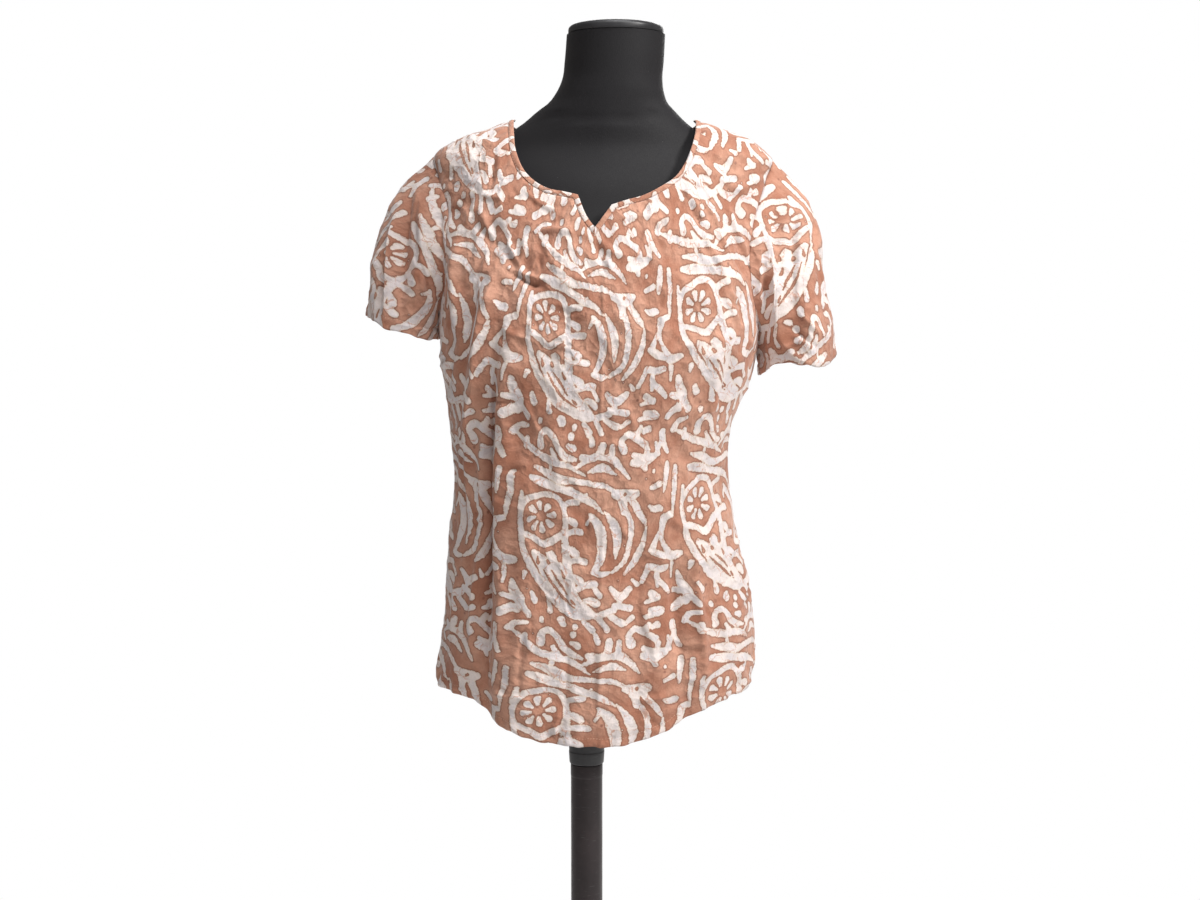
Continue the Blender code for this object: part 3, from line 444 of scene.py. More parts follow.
# z, middle x, half width, front y, back y, section power
FORM = np.array((
    (0.6560, 0.014, 0.060, -0.042, 0.046, 2.2),
    (0.6600, 0.014, 0.084, -0.058, 0.062, 2.2),
    (0.6720, 0.014, 0.107, -0.074, 0.079, 2.25),
    (0.7000, 0.014, 0.130, -0.088, 0.093, 2.3),
    (0.7800, 0.015, 0.148, -0.096, 0.098, 2.3),
    (0.8600, 0.015, 0.136, -0.092, 0.092, 2.2),
    (0.9500, 0.016, 0.119, -0.086, 0.080, 2.2),
    (1.0200, 0.017, 0.126, -0.096, 0.085, 2.2),
    (1.1000, 0.018, 0.138, -0.118, 0.091, 2.2),
    (1.1500, 0.018, 0.148, -0.113, 0.095, 2.2),
    (1.2000, 0.018, 0.156, -0.099, 0.095, 2.1),
    (1.2500, 0.018, 0.162, -0.080, 0.091, 2.0),
    (1.2800, 0.018, 0.164, -0.070, 0.086, 1.9),
    (1.3000, 0.018, 0.162, -0.062, 0.080, 1.8),
    (1.3120, 0.018, 0.152, -0.058, 0.075, 1.7),
    (1.3250, 0.019, 0.136, -0.055, 0.070, 1.65),
    (1.3350, 0.020, 0.121, -0.055, 0.065, 1.65),
    (1.3450, 0.021, 0.106, -0.056, 0.060, 1.65),
    (1.3550, 0.022, 0.092, -0.056, 0.055, 1.7),
    (1.3660, 0.023, 0.0800, -0.057, 0.051, 1.8),
    (1.3750, 0.025, 0.0690, -0.058, 0.049, 1.9),
    (1.3850, 0.027, 0.0628, -0.059, 0.047, 2.0),
    (1.4030, 0.030, 0.0573, -0.060, 0.046, 2.0),
    (1.4220, 0.032, 0.0567, -0.061, 0.045, 2.0),
    (1.4520, 0.034, 0.0562, -0.062, 0.044, 2.0),
))
# Stand: node, radius of its edges, outline from the middle of its top to the middle of its foot,
# in shares of its radius and height
STAND = (
    ("neck_cap", 0.0025, ((0, 1), (0.93, 1), (1, 0.72), (1, 0), (0, 0))),
    ("pole_socket", 0.0012, (
        (0, 1), (1, 1), (0.985, 0.80), (0.965, 0.78), (0.925, 0.30), (0.94, 0.28), (0.905, 0.02),
        (0.84, 0), (0, 0),
    )),
    ("pole", 0.0006, (
        (0, 1), (1, 1), (1, 0.975), (0.985, 0.972), (0.985, 0.03), (1, 0.027), (1, 0), (0, 0),
    )),
    ("pole_foot", 0.0015, (
        (0, 1), (0.70, 1), (0.75, 0.93), (0.76, 0.62), (0.78, 0.60), (0.79, 0.27), (1, 0.09),
        (1, 0), (0, 0),
    )),
    ("base", 0.0022, (
        (0, 1), (0.20, 1), (0.94, 0.93), (0.985, 0.75), (1, 0.45), (1, 0.12), (0.985, 0), (0, 0),
    )),
)
FORM_SEGMENTS = 144
FORM_ROWS = 130
FORM_SEAM = {"depth": 0.0012, "half": 0.0016}
NECK_SEAM = {"z": 1.366, "dip": 0.014}

# ---------------------------------------------------------------- colours

GROUND_LIGHT = (0.600, 0.318, 0.220)
GROUND_DARK = (0.405, 0.165, 0.098)
HALO = (0.270, 0.112, 0.072)
WHITE = (0.82, 0.725, 0.69)
WHITE_COOL = (0.74, 0.675, 0.68)
CREAM = (0.80, 0.67, 0.55)
THREAD = (0.74, 0.52, 0.40)
FORM_BLACK = (0.0048, 0.0044, 0.0054)
PLASTIC_BLACK = (0.020, 0.020, 0.022)
STEEL_BLACK = (0.028, 0.022, 0.023)
FLOOR = (0.90, 0.90, 0.90)
# Lights: name, place, side, power, colour; each faces the middle of the blouse
WARM_WHITE = (1.0, 0.985, 0.965)
LIGHTS = (
    ("key", (2.75, -1.95, 3.2), 0.8, 133, WARM_WHITE),
    ("weak_key", (2.75, -1.95, 3.2), 0.8, 14, WARM_WHITE),
    ("overhead", (0.2, -0.7, 3.0), 1.0, 32, (1, 1, 1)),
    ("back", (0.5, 2.4, 2.2), 1.6, 46, (1, 1, 1)),
)
LIT_PLACE = Vector((0.0, 0.0, 1.0))
SURROUNDINGS = {"color": (1, 0.93, 0.89, 1), "strength": 0.20}
CAMERA = {"eye": (0.0158, -2.0, 1.14), "target": (0.0158, 0.0, 0.976), "lens": 51.45}
SEED = 11


# ================================================================ tables and curves

def rows_at(table, key):
    """Every column of a table at the given keys, on a cubic through its rows."""
    keys = table[:, 0]
    slopes = np.gradient(table[:, 1:], keys, axis=0)
    key = np.asarray(key, float)
    inside = np.clip(key, keys[0], keys[-1])
    row = np.clip(np.searchsorted(keys, inside) - 1, 0, len(keys) - 2)
    step = keys[row + 1] - keys[row]
    t = ((inside - keys[row]) / step)[..., None]
    step = step[..., None]
    start, end = table[row, 1:], table[row + 1, 1:]
    value = (
        start * (1 + 2 * t) * (1 - t) ** 2
        + end * t**2 * (3 - 2 * t)
        + step * (slopes[row] * t * (1 - t) ** 2 - slopes[row + 1] * t**2 * (1 - t))
    )
    edge_slope = np.where((key > keys[-1])[..., None], slopes[-1], slopes[0])
    return value + edge_slope * (key - inside)[..., None]


def unit(vectors):
    return vectors / np.maximum(np.linalg.norm(vectors, axis=-1, keepdims=True), 1e-12)


def dot(a, b):
    return np.sum(a * b, axis=-1, keepdims=True)


def soft_step(t):
    t = np.clip(t, 0, 1)
    return t * t * (3 - 2 * t)


def run_of(points):
    """Distance along a line of points, starting at 0."""
    return np.concatenate(((0,), np.cumsum(np.linalg.norm(np.diff(points, axis=0), axis=-1))))


def even_curve(points, spans):
    """Points spaced evenly along a smooth curve through the given ones."""
    points = np.asarray(points, float)
    keys = run_of(points)
    return rows_at(np.column_stack((keys, points)), np.linspace(0, keys[-1], spans + 1))


def resampled(grid, row_keys, column_keys, new_rows, new_columns):
    """A grid read at other places along its rows and columns."""
    depth = grid.shape[-1]
    flat = grid.reshape(len(row_keys), -1)
    rows = rows_at(np.column_stack((row_keys, flat)), new_rows)
    rows = rows.reshape(len(new_rows), len(column_keys), depth).transpose(1, 0, 2)
    flat = rows.reshape(len(column_keys), -1)
    both = rows_at(np.column_stack((column_keys, flat)), new_columns)
    return both.reshape(len(new_columns), len(new_rows), depth).transpose(1, 0, 2)


# ================================================================ the body's surface

def section(z):
    """Middle x, half width, middle y, front depth and back depth of the body at z."""
    left, right, front, back = np.moveaxis(rows_at(BODY, z), -1, 0)
    middle_y = (front + back) / 2
    return (left + right) / 2, (right - left) / 2, middle_y, middle_y - front, back - middle_y


def on_body(angle, z):
    """The body's surface at a section angle in degrees and a height."""
    angle, z = np.broadcast_arrays(np.radians(angle), np.asarray(z, float))
    middle_x, half_width, middle_y, front, back = section(z)
    across, ahead = np.cos(angle), np.sin(angle)
    across = np.sign(across) * np.abs(across) ** (2 / BODY_POWER)
    ahead = np.sign(ahead) * np.abs(ahead) ** (2 / BODY_POWER)
    depth = np.where(ahead > 0, front, back)
    return np.stack((middle_x + half_width * across, middle_y - depth * ahead, z), axis=-1)


def on_front(x, z):
    """The front's surface at a place seen from the front."""
    middle_x, half_width, middle_y, front, _ = section(np.asarray(z, float))
    across = np.minimum(np.abs(np.asarray(x) - middle_x) / half_width, 1)
    y = middle_y - front * (1 - across**BODY_POWER) ** (1 / BODY_POWER)
    return np.stack((np.asarray(x, float), y, np.asarray(z, float)), axis=-1)


def above_surface(points):
    """Zero on the body's surface, positive outside it."""
    middle_x, half_width, middle_y, front, back = section(points[..., 2])
    across = np.abs(points[..., 0] - middle_x) / half_width
    ahead = points[..., 1] - middle_y
    ahead = np.abs(ahead) / np.where(ahead < 0, front, back)
    return (across**BODY_POWER + ahead**BODY_POWER) ** (1 / BODY_POWER) - 1


def surface_slope(points):
    reach = 1e-5
    steps = np.eye(3) * reach
    slopes = [(above_surface(points + s) - above_surface(points - s)) / (2 * reach) for s in steps]
    return np.stack(slopes, axis=-1)


def onto_body(points, steps=4):
    """Moves points to the nearest place on the body's surface."""
    for _ in range(steps):
        slope = surface_slope(points)
        points = points - slope * (above_surface(points)[..., None] / dot(slope, slope))
    return points


# ================================================================ edges of the pieces

def armhole_steps(counts):
    """0 to 1 in steps that are shorter at both ends."""
    even = np.arange(counts["arm"] + 1) / counts["arm"]
    crowded = 0.5 - 0.5 * np.cos(np.pi * even)
    return (1 - counts["crowding"]) * even + counts["crowding"] * crowded


def armhole(side, cut, turn, counts):
    """An armhole edge from armpit to shoulder; turn says which way round it cuts."""
    tau = armhole_steps(counts)
    reach = cut * np.abs(np.sin(np.pi * tau)) ** ARMHOLE_POWER
    z = side["pit"] + (side["shoulder"] - side["pit"]) * tau
    return on_body(side["angle"] + turn * reach, z)


def side_edge(side, hem_z, cut, turn, counts):
    """A panel's edge from the hem's corner up to the shoulder point."""
    vent_z = np.linspace(hem_z, side["vent"], counts["vent"] + 1)
    spread = VENT_SPREAD * (side["vent"] - vent_z) / (side["vent"] - hem_z)
    vent = on_body(side["angle"] + turn * spread, vent_z)
    seam_z = np.linspace(side["vent"], side["pit"], counts["side"] + 1)
    seam = on_body(side["angle"], seam_z)
    return np.concatenate((vent[:-1], seam[:-1], armhole(side, cut, turn, counts)))


def neck_edge(counts):
    """The neckline's loop: front from left to right, then back from right to left."""
    left_side = on_body(LEFT["angle"], NECK_SIDE_Z)
    right_side = on_body(RIGHT["angle"], NECK_SIDE_Z)
    left = [left_side] + [on_front(x, z) for x, z in NECK_LEFT]
    notch = [on_front(x, z) for x, z in NOTCH]
    right = [on_front(x, z) for x, z in NECK_RIGHT] + [right_side]
    turn = np.linspace(0, math.pi, counts["nape"] + 1)
    back = on_body(-np.degrees(turn), NECK_SIDE_Z - BACK_NECK_DROP * np.sin(turn))
    runs = (
        even_curve(left, counts["neck"])[:-1],
        even_curve(notch[:3], counts["notch"])[:-1],
        even_curve(notch[2:], counts["notch"])[:-1],
        even_curve(right, counts["neck"])[:-1],
        back[:-1],
    )
    return onto_body(np.concatenate(runs))


def moved_into_cloth(loop, width):
    """The neckline's loop moved away from the neck, mitred at its corners."""
    normal = unit(surface_slope(loop))
    before = unit(loop - np.roll(loop, 1, axis=0))
    after = unit(np.roll(loop, -1, axis=0) - loop)
    before_out = unit(np.cross(before, normal))
    after_out = unit(np.cross(after, normal))
    mitre = (before_out + after_out) / (1 + dot(before_out, after_out))
    return onto_body(loop + width * mitre)


def shoulder_edge(side, neck_point, counts):
    """A shoulder seam from the shoulder point to the neck binding."""
    z = np.linspace(side["shoulder"], neck_point[2], counts["shoulder"] + 1)[:-1]
    return on_body(side["angle"], z)


def top_edges(counts):
    """The top edge of the front and of the back, and the neckline's two loops."""
    edge = neck_edge(counts)
    seam = moved_into_cloth(edge, BINDING_WIDTH)
    across = 2 * (counts["neck"] + counts["notch"])
    front_neck = seam[: across + 1]
    back_neck = np.concatenate((seam[across:], seam[:1]))
    left = shoulder_edge(LEFT, front_neck[0], counts)
    right = shoulder_edge(RIGHT, front_neck[-1], counts)
    front_top = np.concatenate((left, front_neck, right[::-1]))
    back_top = np.concatenate((right, back_neck, left[::-1]))
    return front_top, back_top, seam, edge


# ================================================================ plain forms of the pieces

def across_hem(start_angle, fractions, hem):
    """The hem at fractions of the girth, from one side edge to the other."""
    heights = rows_at(hem, fractions)[:, 0]
    sweep = 180 - 2 * VENT_SPREAD
    turns = np.linspace(0, 1, GIRTH_STEPS + 1)
    girth = run_of(on_body(start_angle - VENT_SPREAD - sweep * turns, GIRTH_Z))
    share = np.interp(fractions * girth[-1], girth, turns)
    return on_body(start_angle - VENT_SPREAD - sweep * share, heights)


def between_edges(first, second, bottom, top, v, g):
    """A grid that blends four edges."""
    v, g = v[:, None, None], g[None, :, None]
    corners = (
        (1 - v) * ((1 - g) * bottom[0] + g * bottom[-1])
        + v * ((1 - g) * top[0] + g * top[-1])
    )
    return (
        (1 - g) * first[:, None] + g * second[:, None]
        + (1 - v) * bottom[None] + v * top[None] - corners
    )


def eased(grid, steps, newton):
    """Evens a grid out over the body's surface, with its edges held."""
    for _ in range(steps):
        middle = (grid[:-2, 1:-1] + grid[2:, 1:-1] + grid[1:-1, :-2] + grid[1:-1, 2:]) / 4
        grid[1:-1, 1:-1] = onto_body(middle, newton)
    return grid


def spaced(grid, g):
    """Spaces the rows of every column as the rows of the two side edges are spaced."""
    first, second = run_of(grid[:, 0]), run_of(grid[:, -1])
    grid = grid.copy()
    for column in range(1, grid.shape[1] - 1):
        run = run_of(grid[:, column])
        share = (1 - g[column]) * first / first[-1] + g[column] * second / second[-1]
        line = grid[:, column].copy()
        for axis in range(3):
            grid[:, column, axis] = np.interp(share * run[-1], run, line[:, axis])
    return grid


def panel(first, second, cut, hem, top_of):
    """A panel's fine grid, rows from hem to shoulders, columns from first side to second."""
    plain = None
    for counts in (PLAIN, FINE):
        top = top_of(counts)
        first_edge = side_edge(first, hem[0, 1], cut, -1, counts)
        second_edge = side_edge(second, hem[-1, 1], cut, 1, counts)
        g = run_of(top * TOP_WEIGHTS)
        g = g / g[-1]
        bottom = across_hem(first["angle"], g, hem)
        rises = [(e[:, 2] - e[0, 2]) / np.ptp(e[:, 2]) for e in (first_edge, second_edge)]
        v = np.mean(rises, axis=0)
        if plain is None:
            plain = between_edges(first_edge, second_edge, bottom, top, v, g)
            plain[1:-1, 1:-1] = onto_body(plain[1:-1, 1:-1])
            plain = eased(plain, PLAIN_EASE_STEPS, 4)
            plain_v, plain_g = v, g
    grid = resampled(plain, plain_v, plain_g, v, g)
    gaps = (first_edge - grid[:, 0], second_edge - grid[:, -1], bottom - grid[0], top - grid[-1])
    grid = spaced(grid + between_edges(*gaps, v, g), g)
    grid[1:-1, 1:-1] = onto_body(grid[1:-1, 1:-1])
    return eased(grid, FINE_EASE_STEPS, 1)


def sleeve(side, table, hem_wave):
    """A sleeve's grid, rows from armhole to hem, columns round it from the underarm.

    Its first column is its last one again, where the underarm seam closes it.
    """
    front_turn = -1 if side is LEFT else 1
    front = armhole(side, FRONT_ARMHOLE, front_turn, FINE)[::-1]
    back = armhole(side, BACK_ARMHOLE, -front_turn, FINE)
    root = np.concatenate((front[:-1], back[:-1]))
    w = np.linspace(0, 1, SLEEVE_ROWS + 1)
    top_x, top_z, under_x, under_z, middle_y, half_y = np.moveaxis(rows_at(table, w), -1, 0)
    theta = np.linspace(0, 2 * math.pi, len(root), endpoint=False)
    up, ahead = np.cos(theta)[None], np.sin(theta)[None]
    x = (top_x + under_x)[:, None] / 2 + (top_x - under_x)[:, None] / 2 * up
    y = middle_y[:, None] - half_y[:, None] * ahead
    z = (top_z + under_z)[:, None] / 2 + (top_z - under_z)[:, None] / 2 * up
    height, waves, phase = hem_wave
    z = z + height * np.sin(waves * theta + math.radians(phase))[None] * w[:, None] ** 2
    rings = np.stack((x, y, z), axis=-1)
    rings = rings + (root - rings[0]) * (1 - w[:, None, None]) ** 2
    rings = np.roll(rings, len(root) // 2, axis=1)
    return np.concatenate((rings, rings[:, :1]), axis=1)


# ================================================================ folds and creases

def fold_profile(x, z, fold):
    """How much of a fold's depth acts at a place seen from the front."""
    top_x, top_z, bottom_x, bottom_z, half_width = fold[:5]
    run_x, run_z = bottom_x - top_x, bottom_z - top_z
    length = math.hypot(run_x, run_z)
    along = ((x - top_x) * run_x + (z - top_z) * run_z) / length
    across = ((x - top_x) * run_z - (z - top_z) * run_x) / length
    ends = np.clip(along / (FOLD_START * length), 0, 1)
    return np.exp(-((across / half_width) ** 2)) * ends**2 * (3 - 2 * ends)


def folded(points):
    """Presses the largest folds into points of the blouse."""
    points = points.copy()
    x, z = points[..., 0], points[..., 2]
    middle_y = section(z)[2]
    for fold in FOLDS:
        depth, side = fold[5:]
        behind = (points[..., 1] - middle_y) * side
        facing = np.clip(behind / FOLD_EDGE, 0, 1)
        points[..., 1] -= side * depth * fold_profile(x, z, fold) * facing
    return points


def in_metres(table, gain=1.0):
    """The rows of a table of both sides, in metres, each with its side; gain scales their last value."""
    return [
        (*(MILLIMETRE * value for value in values), gain * (MILLIMETRE * last), side)
        for side, rows in table.items()
        for *values, last in rows
    ]


def leaned(points):
    """Moves the tallest ridges sideways, over the troughs beside them."""
    x, z = points[..., 0], points[..., 2]
    behind = points[..., 1] - section(z)[2]
    shift = np.zeros(x.shape)
    for start_x, start_z, end_x, end_z, half, reach, side in in_metres(LEANING):
        run_x, run_z = end_x - start_x, end_z - start_z
        t = ((x - start_x) * run_x + (z - start_z) * run_z) / (run_x**2 + run_z**2)
        across = (x - start_x - run_x * t) / half
        taper = soft_step(t / 0.25) * soft_step((1 - t) / 0.12 + 0.35)
        facing = soft_step(behind * side / FOLD_EDGE)
        shift += reach * np.exp(-across**2) * taper * facing
    moved = points.copy()
    moved[..., 0] += shift
    return moved


def scattered_creases():
    """Small creases in no order, on both sides, as in_metres gives the others."""
    random = np.random.default_rng(SEED)
    found = []
    for side in (FRONT, BACK):
        for _ in range(SCATTERED["count"]):
            x, z = (random.uniform(*span) for span in SCATTER_AREA)
            turn = random.uniform(0, math.pi)
            length = random.uniform(*SCATTERED["length"])
            half = random.uniform(*SCATTERED["half"])
            height = random.uniform(*SCATTERED["height"]) * random.choice((-1, 1, 1))
            end_x, end_z = x + length * math.cos(turn), z + length * math.sin(turn)
            bow = random.uniform(-0.12, 0.12) * length
            found.append((x, z, end_x, end_z, bow, half, height, side))
    return found


def crease_height(points, creases):
    """How far creases lift points out of the cloth's surface."""
    x, z = points[..., 0], points[..., 2]
    behind = points[..., 1] - section(z)[2]
    total = np.zeros(x.shape)
    for start_x, start_z, end_x, end_z, bow, half, height, side in creases:
        run_x, run_z = end_x - start_x, end_z - start_z
        length = math.hypot(run_x, run_z)
        t = ((x - start_x) * run_x + (z - start_z) * run_z) / length**2
        near = np.abs(t - 0.5) < 0.5
        if not near.any():
            continue
        t = t[near]
        across = ((x[near] - start_x) * run_z - (z[near] - start_z) * run_x) / length
        across = (across - bow * 4 * t * (1 - t)) / half
        across = across * np.where(across > 0, 1.25, 0.85)
        taper = soft_step(t / 0.3) * soft_step((1 - t) / 0.45)
        ridge = 1.3 * np.exp(-np.abs(across) ** 1.6) - 0.3 * np.exp(-((across / 2.6) ** 2))
        facing = soft_step(behind[near] * side / FOLD_EDGE)
        total[near] += height * ridge * taper * facing
    return total


def facet_seeds(size, random):
    """Points spread through the room the blouse takes up."""
    low, high = np.array((-0.30, -0.17, 0.62)), np.array((0.33, 0.15, 1.39))
    return tree_of(random.uniform(low, high, (int(np.prod(high - low) / size**3), 3)))


def crumple_height(points, facets):
    """Uneven waves and flat facets that meet in sharp little ridges."""
    flat = points.reshape(-1, 3)
    total = np.zeros(len(flat))
    for number, (size, height) in enumerate(WAVES):
        shift = Vector((3.1 * number + SEED, 1.7 * number, 5.3 * number))
        total += height * np.array([noise.noise(Vector(p) / size + shift) for p in flat])
    for size, slope, seeds in facets:
        drift = np.array([noise.noise_vector(Vector(p) / (1.4 * size)) for p in flat])
        far = distances(flat + 0.35 * size * drift, seeds)
        much = np.array([noise.noise(Vector(p) / (3 * size)) for p in flat])
        total += slope * (far - 0.5 * size) * (0.25 + 0.75 * soft_step(0.55 + 1.3 * much))
    return total.reshape(points.shape[:-1])


def tree_of(points):
    tree = KDTree(len(points))
    for number, point in enumerate(points):
        tree.insert(point, number)
    tree.balance()
    return tree


def distances(points, tree):
    flat = points.reshape(-1, 3)
    found = np.array([tree.find(p)[2] for p in flat])
    return found.reshape(points.shape[:-1])


def keep_off_form(grid, normals, form_tree):
    """Moves cloth that comes too near the form out along its own direction."""
    flat, direction = grid.reshape(-1, 3).copy(), normals.reshape(-1, 3)
    for number, point in enumerate(flat):
        place, outward, _, _ = form_tree.find_nearest(Vector(point), NEAR_FORM)
        if place is None:
            continue
        clear = (Vector(point) - place).dot(outward)
        if clear < FORM_CLEARANCE:
            flat[number] += direction[number] * (FORM_CLEARANCE - clear)
    return flat.reshape(grid.shape)


# ================================================================ flat patterns and print

def evened(flat, solid, steps):
    """Moves a flat grid until its lengths are those of the solid one, as nearly as can be."""
    links = []
    for a, b in (
        (np.s_[:-1, :], np.s_[1:, :]), (np.s_[:, :-1], np.s_[:, 1:]),
        (np.s_[:-1, :-1], np.s_[1:, 1:]), (np.s_[:-1, 1:], np.s_[1:, :-1]),
    ):
        links.append((a, b, np.linalg.norm(solid[a] - solid[b], axis=-1)[..., None]))
    for _ in range(steps):
        move, count = np.zeros_like(flat), np.zeros(flat.shape[:2] + (1,))
        for a, b, length in links:
            step = flat[b] - flat[a]
            now = np.maximum(np.linalg.norm(step, axis=-1, keepdims=True), 1e-9)
            pull = step * (0.5 * (now - length) / now)
            move[a] += pull
            move[b] -= pull
            count[a] += 1
            count[b] += 1
        flat = flat + move / count * FLAT_PULL
    return flat


def flattened(grid):
    """The flat pattern of a grid, in metres."""
    rows, columns = (
        np.unique(np.r_[np.arange(0, count, FLAT_PART), count - 1]) for count in grid.shape[:2]
    )
    part = grid[np.ix_(rows, columns)]
    middle = part.shape[1] // 2
    steps = np.linalg.norm(np.diff(part, axis=1), axis=-1)
    across = np.concatenate((np.zeros((len(part), 1)), np.cumsum(steps, axis=1)), axis=1)
    across -= across[:, middle : middle + 1]
    up = np.broadcast_to(run_of(part[:, middle])[:, None], across.shape)
    flat = evened(np.stack((across, up), axis=-1), part, FLAT_PART_STEPS)
    everywhere = (np.arange(len(grid)), np.arange(grid.shape[1]))
    flat = resampled(flat, rows.astype(float), columns.astype(float), *everywhere)
    return evened(flat, grid, FLAT_STEPS)


def flat_area(flat):
    """The area of a flat pattern."""
    a, b = flat[1:, 1:] - flat[:-1, :-1], flat[1:, :-1] - flat[:-1, 1:]
    return float(np.abs(a[..., 0] * b[..., 1] - a[..., 1] * b[..., 0]).sum() / 2)


def print_laid(flat, grid, name):
    """The pattern's coordinates, moved and turned so that a rosette lands in its place."""
    place, turn = PRINT_PLACES[name]
    nearest = np.argmin(np.linalg.norm(grid.reshape(-1, 3) - place, axis=1))
    flat = flat - flat.reshape(-1, 2)[nearest]
    c, s = math.cos(math.radians(turn)), math.sin(math.radians(turn))
    laid = flat @ np.array(((c, s), (-s, c)))
    wandered = laid.copy()
    for size, reach in PRINT_WANDER:
        for axis in (0, 1):
            shift = Vector((7.7 * axis + len(name), 0, 3.3))
            values = [noise.noise(Vector((u, v, 0)) / size + shift) for u, v in laid.reshape(-1, 2)]
            wandered[..., axis] += 1.6 * reach * np.reshape(values, laid.shape[:2])
    return wandered


def pieces_of_stroke(stroke):
    """A stroke as short tapered runs: start x, y, half width and end x, y, half width."""
    points = np.array(stroke, float)
    if len(points) > 2:
        keys = run_of(points[:, :2])
        fine = np.interp(np.arange((len(points) - 1) * STROKE_SAMPLES + 1) / STROKE_SAMPLES,
                         np.arange(len(points)), keys)
        points = rows_at(np.column_stack((keys, points)), fine)
        points[:, 2] = np.maximum(points[:, 2], 0.4)
    return np.concatenate((points[:-1], points[1:]), axis=1)


def waxed_runs():
    """Every waxed run of one repeat, the rosette's petals and the coral fingers too."""
    runs = [pieces_of_stroke(stroke) for stroke in WAXED]
    for number in range(PETALS):
        angle = 2 * math.pi * (number + 0.25) / PETALS
        c, s = math.cos(angle), math.sin(angle)
        inner, outer = PETAL["inner"], PETAL["outer"]
        petal = (
            (inner * c, inner * s, PETAL["inner_half"]),
            (outer * c, outer * s, PETAL["outer_half"]),
        )
        runs.append(pieces_of_stroke(petal))
    for root_x, root_y, tip_x, tip_y, tip_half in FINGERS:
        middle = ((root_x + tip_x) / 2, (root_y + tip_y) / 2 + 1.5, 0.8 * tip_half)
        finger = ((root_x, root_y, FINGER_ROOT_HALF), middle, (tip_x, tip_y, tip_half))
        runs.append(pieces_of_stroke(finger))
    return np.concatenate(runs)


def nearest_runs(centres, runs, layers):
    """For each place on the cloth, the runs of the print that matter most there."""
    size = np.array(REPEAT, float)
    tile = np.floor(centres / size)
    place = centres - tile * size
    shifts = [size * (i, j) for i in (-1, 0, 1) for j in (-1, 0, 1)]
    copies = np.concatenate([runs + np.r_[shift, 0, shift, 0] for shift in shifts])
    low = np.minimum(copies[:, :2], copies[:, 3:5]) - WIDEST_RUN
    high = np.maximum(copies[:, :2], copies[:, 3:5]) + WIDEST_RUN
    copies = copies[(high > 0).all(1) & (low < size).all(1)].astype(np.float32)
    place = place.astype(np.float32)
    values = np.empty((len(copies), len(place)), np.float32)
    for number, (ax, ay, a_half, bx, by, b_half) in enumerate(copies):
        dx, dy = bx - ax, by - ay
        px, py = place[:, 0] - ax, place[:, 1] - ay
        t = np.clip((px * dx + py * dy) / (dx * dx + dy * dy), 0, 1)
        values[number] = a_half + (b_half - a_half) * t - np.hypot(px - dx * t, py - dy * t)
    best = np.argpartition(-values, layers - 1, axis=0)[:layers]
    chosen = copies[best]
    shift = (tile * size)[None]
    chosen[..., 0:2] += shift
    chosen[..., 3:5] += shift
    return chosen * MILLIMETRE


# ================================================================ meshes

def new_object(name, mesh, material):
    obj = bpy.data.objects.new(name, mesh)
    bpy.context.scene.collection.objects.link(obj)
    mesh.materials.append(material)
    return obj


def grid_mesh(name, grid, flat=None, welded=False, turned=False):
    """A mesh over a grid of points, with its flat pattern as the UV map named cloth."""
    rows, columns = grid.shape[:2]
    bm = bmesh.new()
    bm.loops.layers.uv.new("cloth")
    bmesh.ops.create_grid(bm, x_segments=columns - 1, y_segments=rows - 1, size=1)
    mesh = bpy.data.meshes.new(name)
    bm.to_mesh(mesh)
    bm.free()
    start = np.empty(len(mesh.vertices) * 3, np.float32)
    mesh.vertices.foreach_get("co", start)
    start = start.reshape(-1, 3)
    column = np.rint((start[:, 0] + 1) / 2 * (columns - 1)).astype(int)
    row = np.rint((start[:, 1] + 1) / 2 * (rows - 1)).astype(int)
    mesh.vertices.foreach_set("co", grid[row, column].astype(np.float32).ravel())
    if flat is not None:
        corner = np.empty(len(mesh.loops), np.int32)
        mesh.loops.foreach_get("vertex_index", corner)
        uv = flat[row[corner], column[corner]].astype(np.float32)
        mesh.uv_layers["cloth"].uv.foreach_set("vector", uv.ravel())
    bm = bmesh.new()
    bm.from_mesh(mesh)
    if welded:
        bmesh.ops.remove_doubles(bm, verts=bm.verts, dist=1e-6)
    if turned:
        bmesh.ops.reverse_faces(bm, faces=bm.faces)
    bm.to_mesh(mesh)
    bm.free()
    mesh.shade_smooth()
    return mesh


def add_print(mesh, waxed, dyed):
    """Gives every face the runs of the print that cross it."""
    count = len(mesh.polygons)
    corner_uv = np.empty(len(mesh.loops) * 2, np.float32)
    mesh.uv_layers["cloth"].uv.foreach_get("vector", corner_uv)
    starts = np.empty(count, np.int32)
    mesh.polygons.foreach_get("loop_start", starts)
    totals = np.empty(count, np.int32)
    mesh.polygons.foreach_get("loop_total", totals)
    sums = np.add.reduceat(corner_uv.reshape(-1, 2).astype(float), starts, axis=0)
    centres = sums / totals[:, None] / MILLIMETRE
    for word, runs, layers in (("waxed", waxed, WAXED_LAYERS), ("dyed", dyed, 1)):
        for number, chosen in enumerate(nearest_runs(centres, runs, layers)):
            for end, values in (("start", chosen[:, :3]), ("end", chosen[:, 3:])):
                layer = mesh.attributes.new(f"{word}_{number}_{end}", "FLOAT_VECTOR", "FACE")
                layer.data.foreach_set("vector", np.ascontiguousarray(values, np.float32).ravel())


def cloth_object(name, grid, flat, material, welded=False, turned=False):
    """A thin sheet of printed cloth over a grid."""
    mesh = grid_mesh(name, grid, flat, welded, turned)
    add_print(mesh, WAXED_RUNS, DYED_RUNS)
    obj = new_object(name, mesh, material)
    wall = obj.modifiers.new("cloth", "SOLIDIFY")
    wall.thickness = CLOTH_THICKNESS
    wall.offset = -1
    return obj


# ================================================================ materials

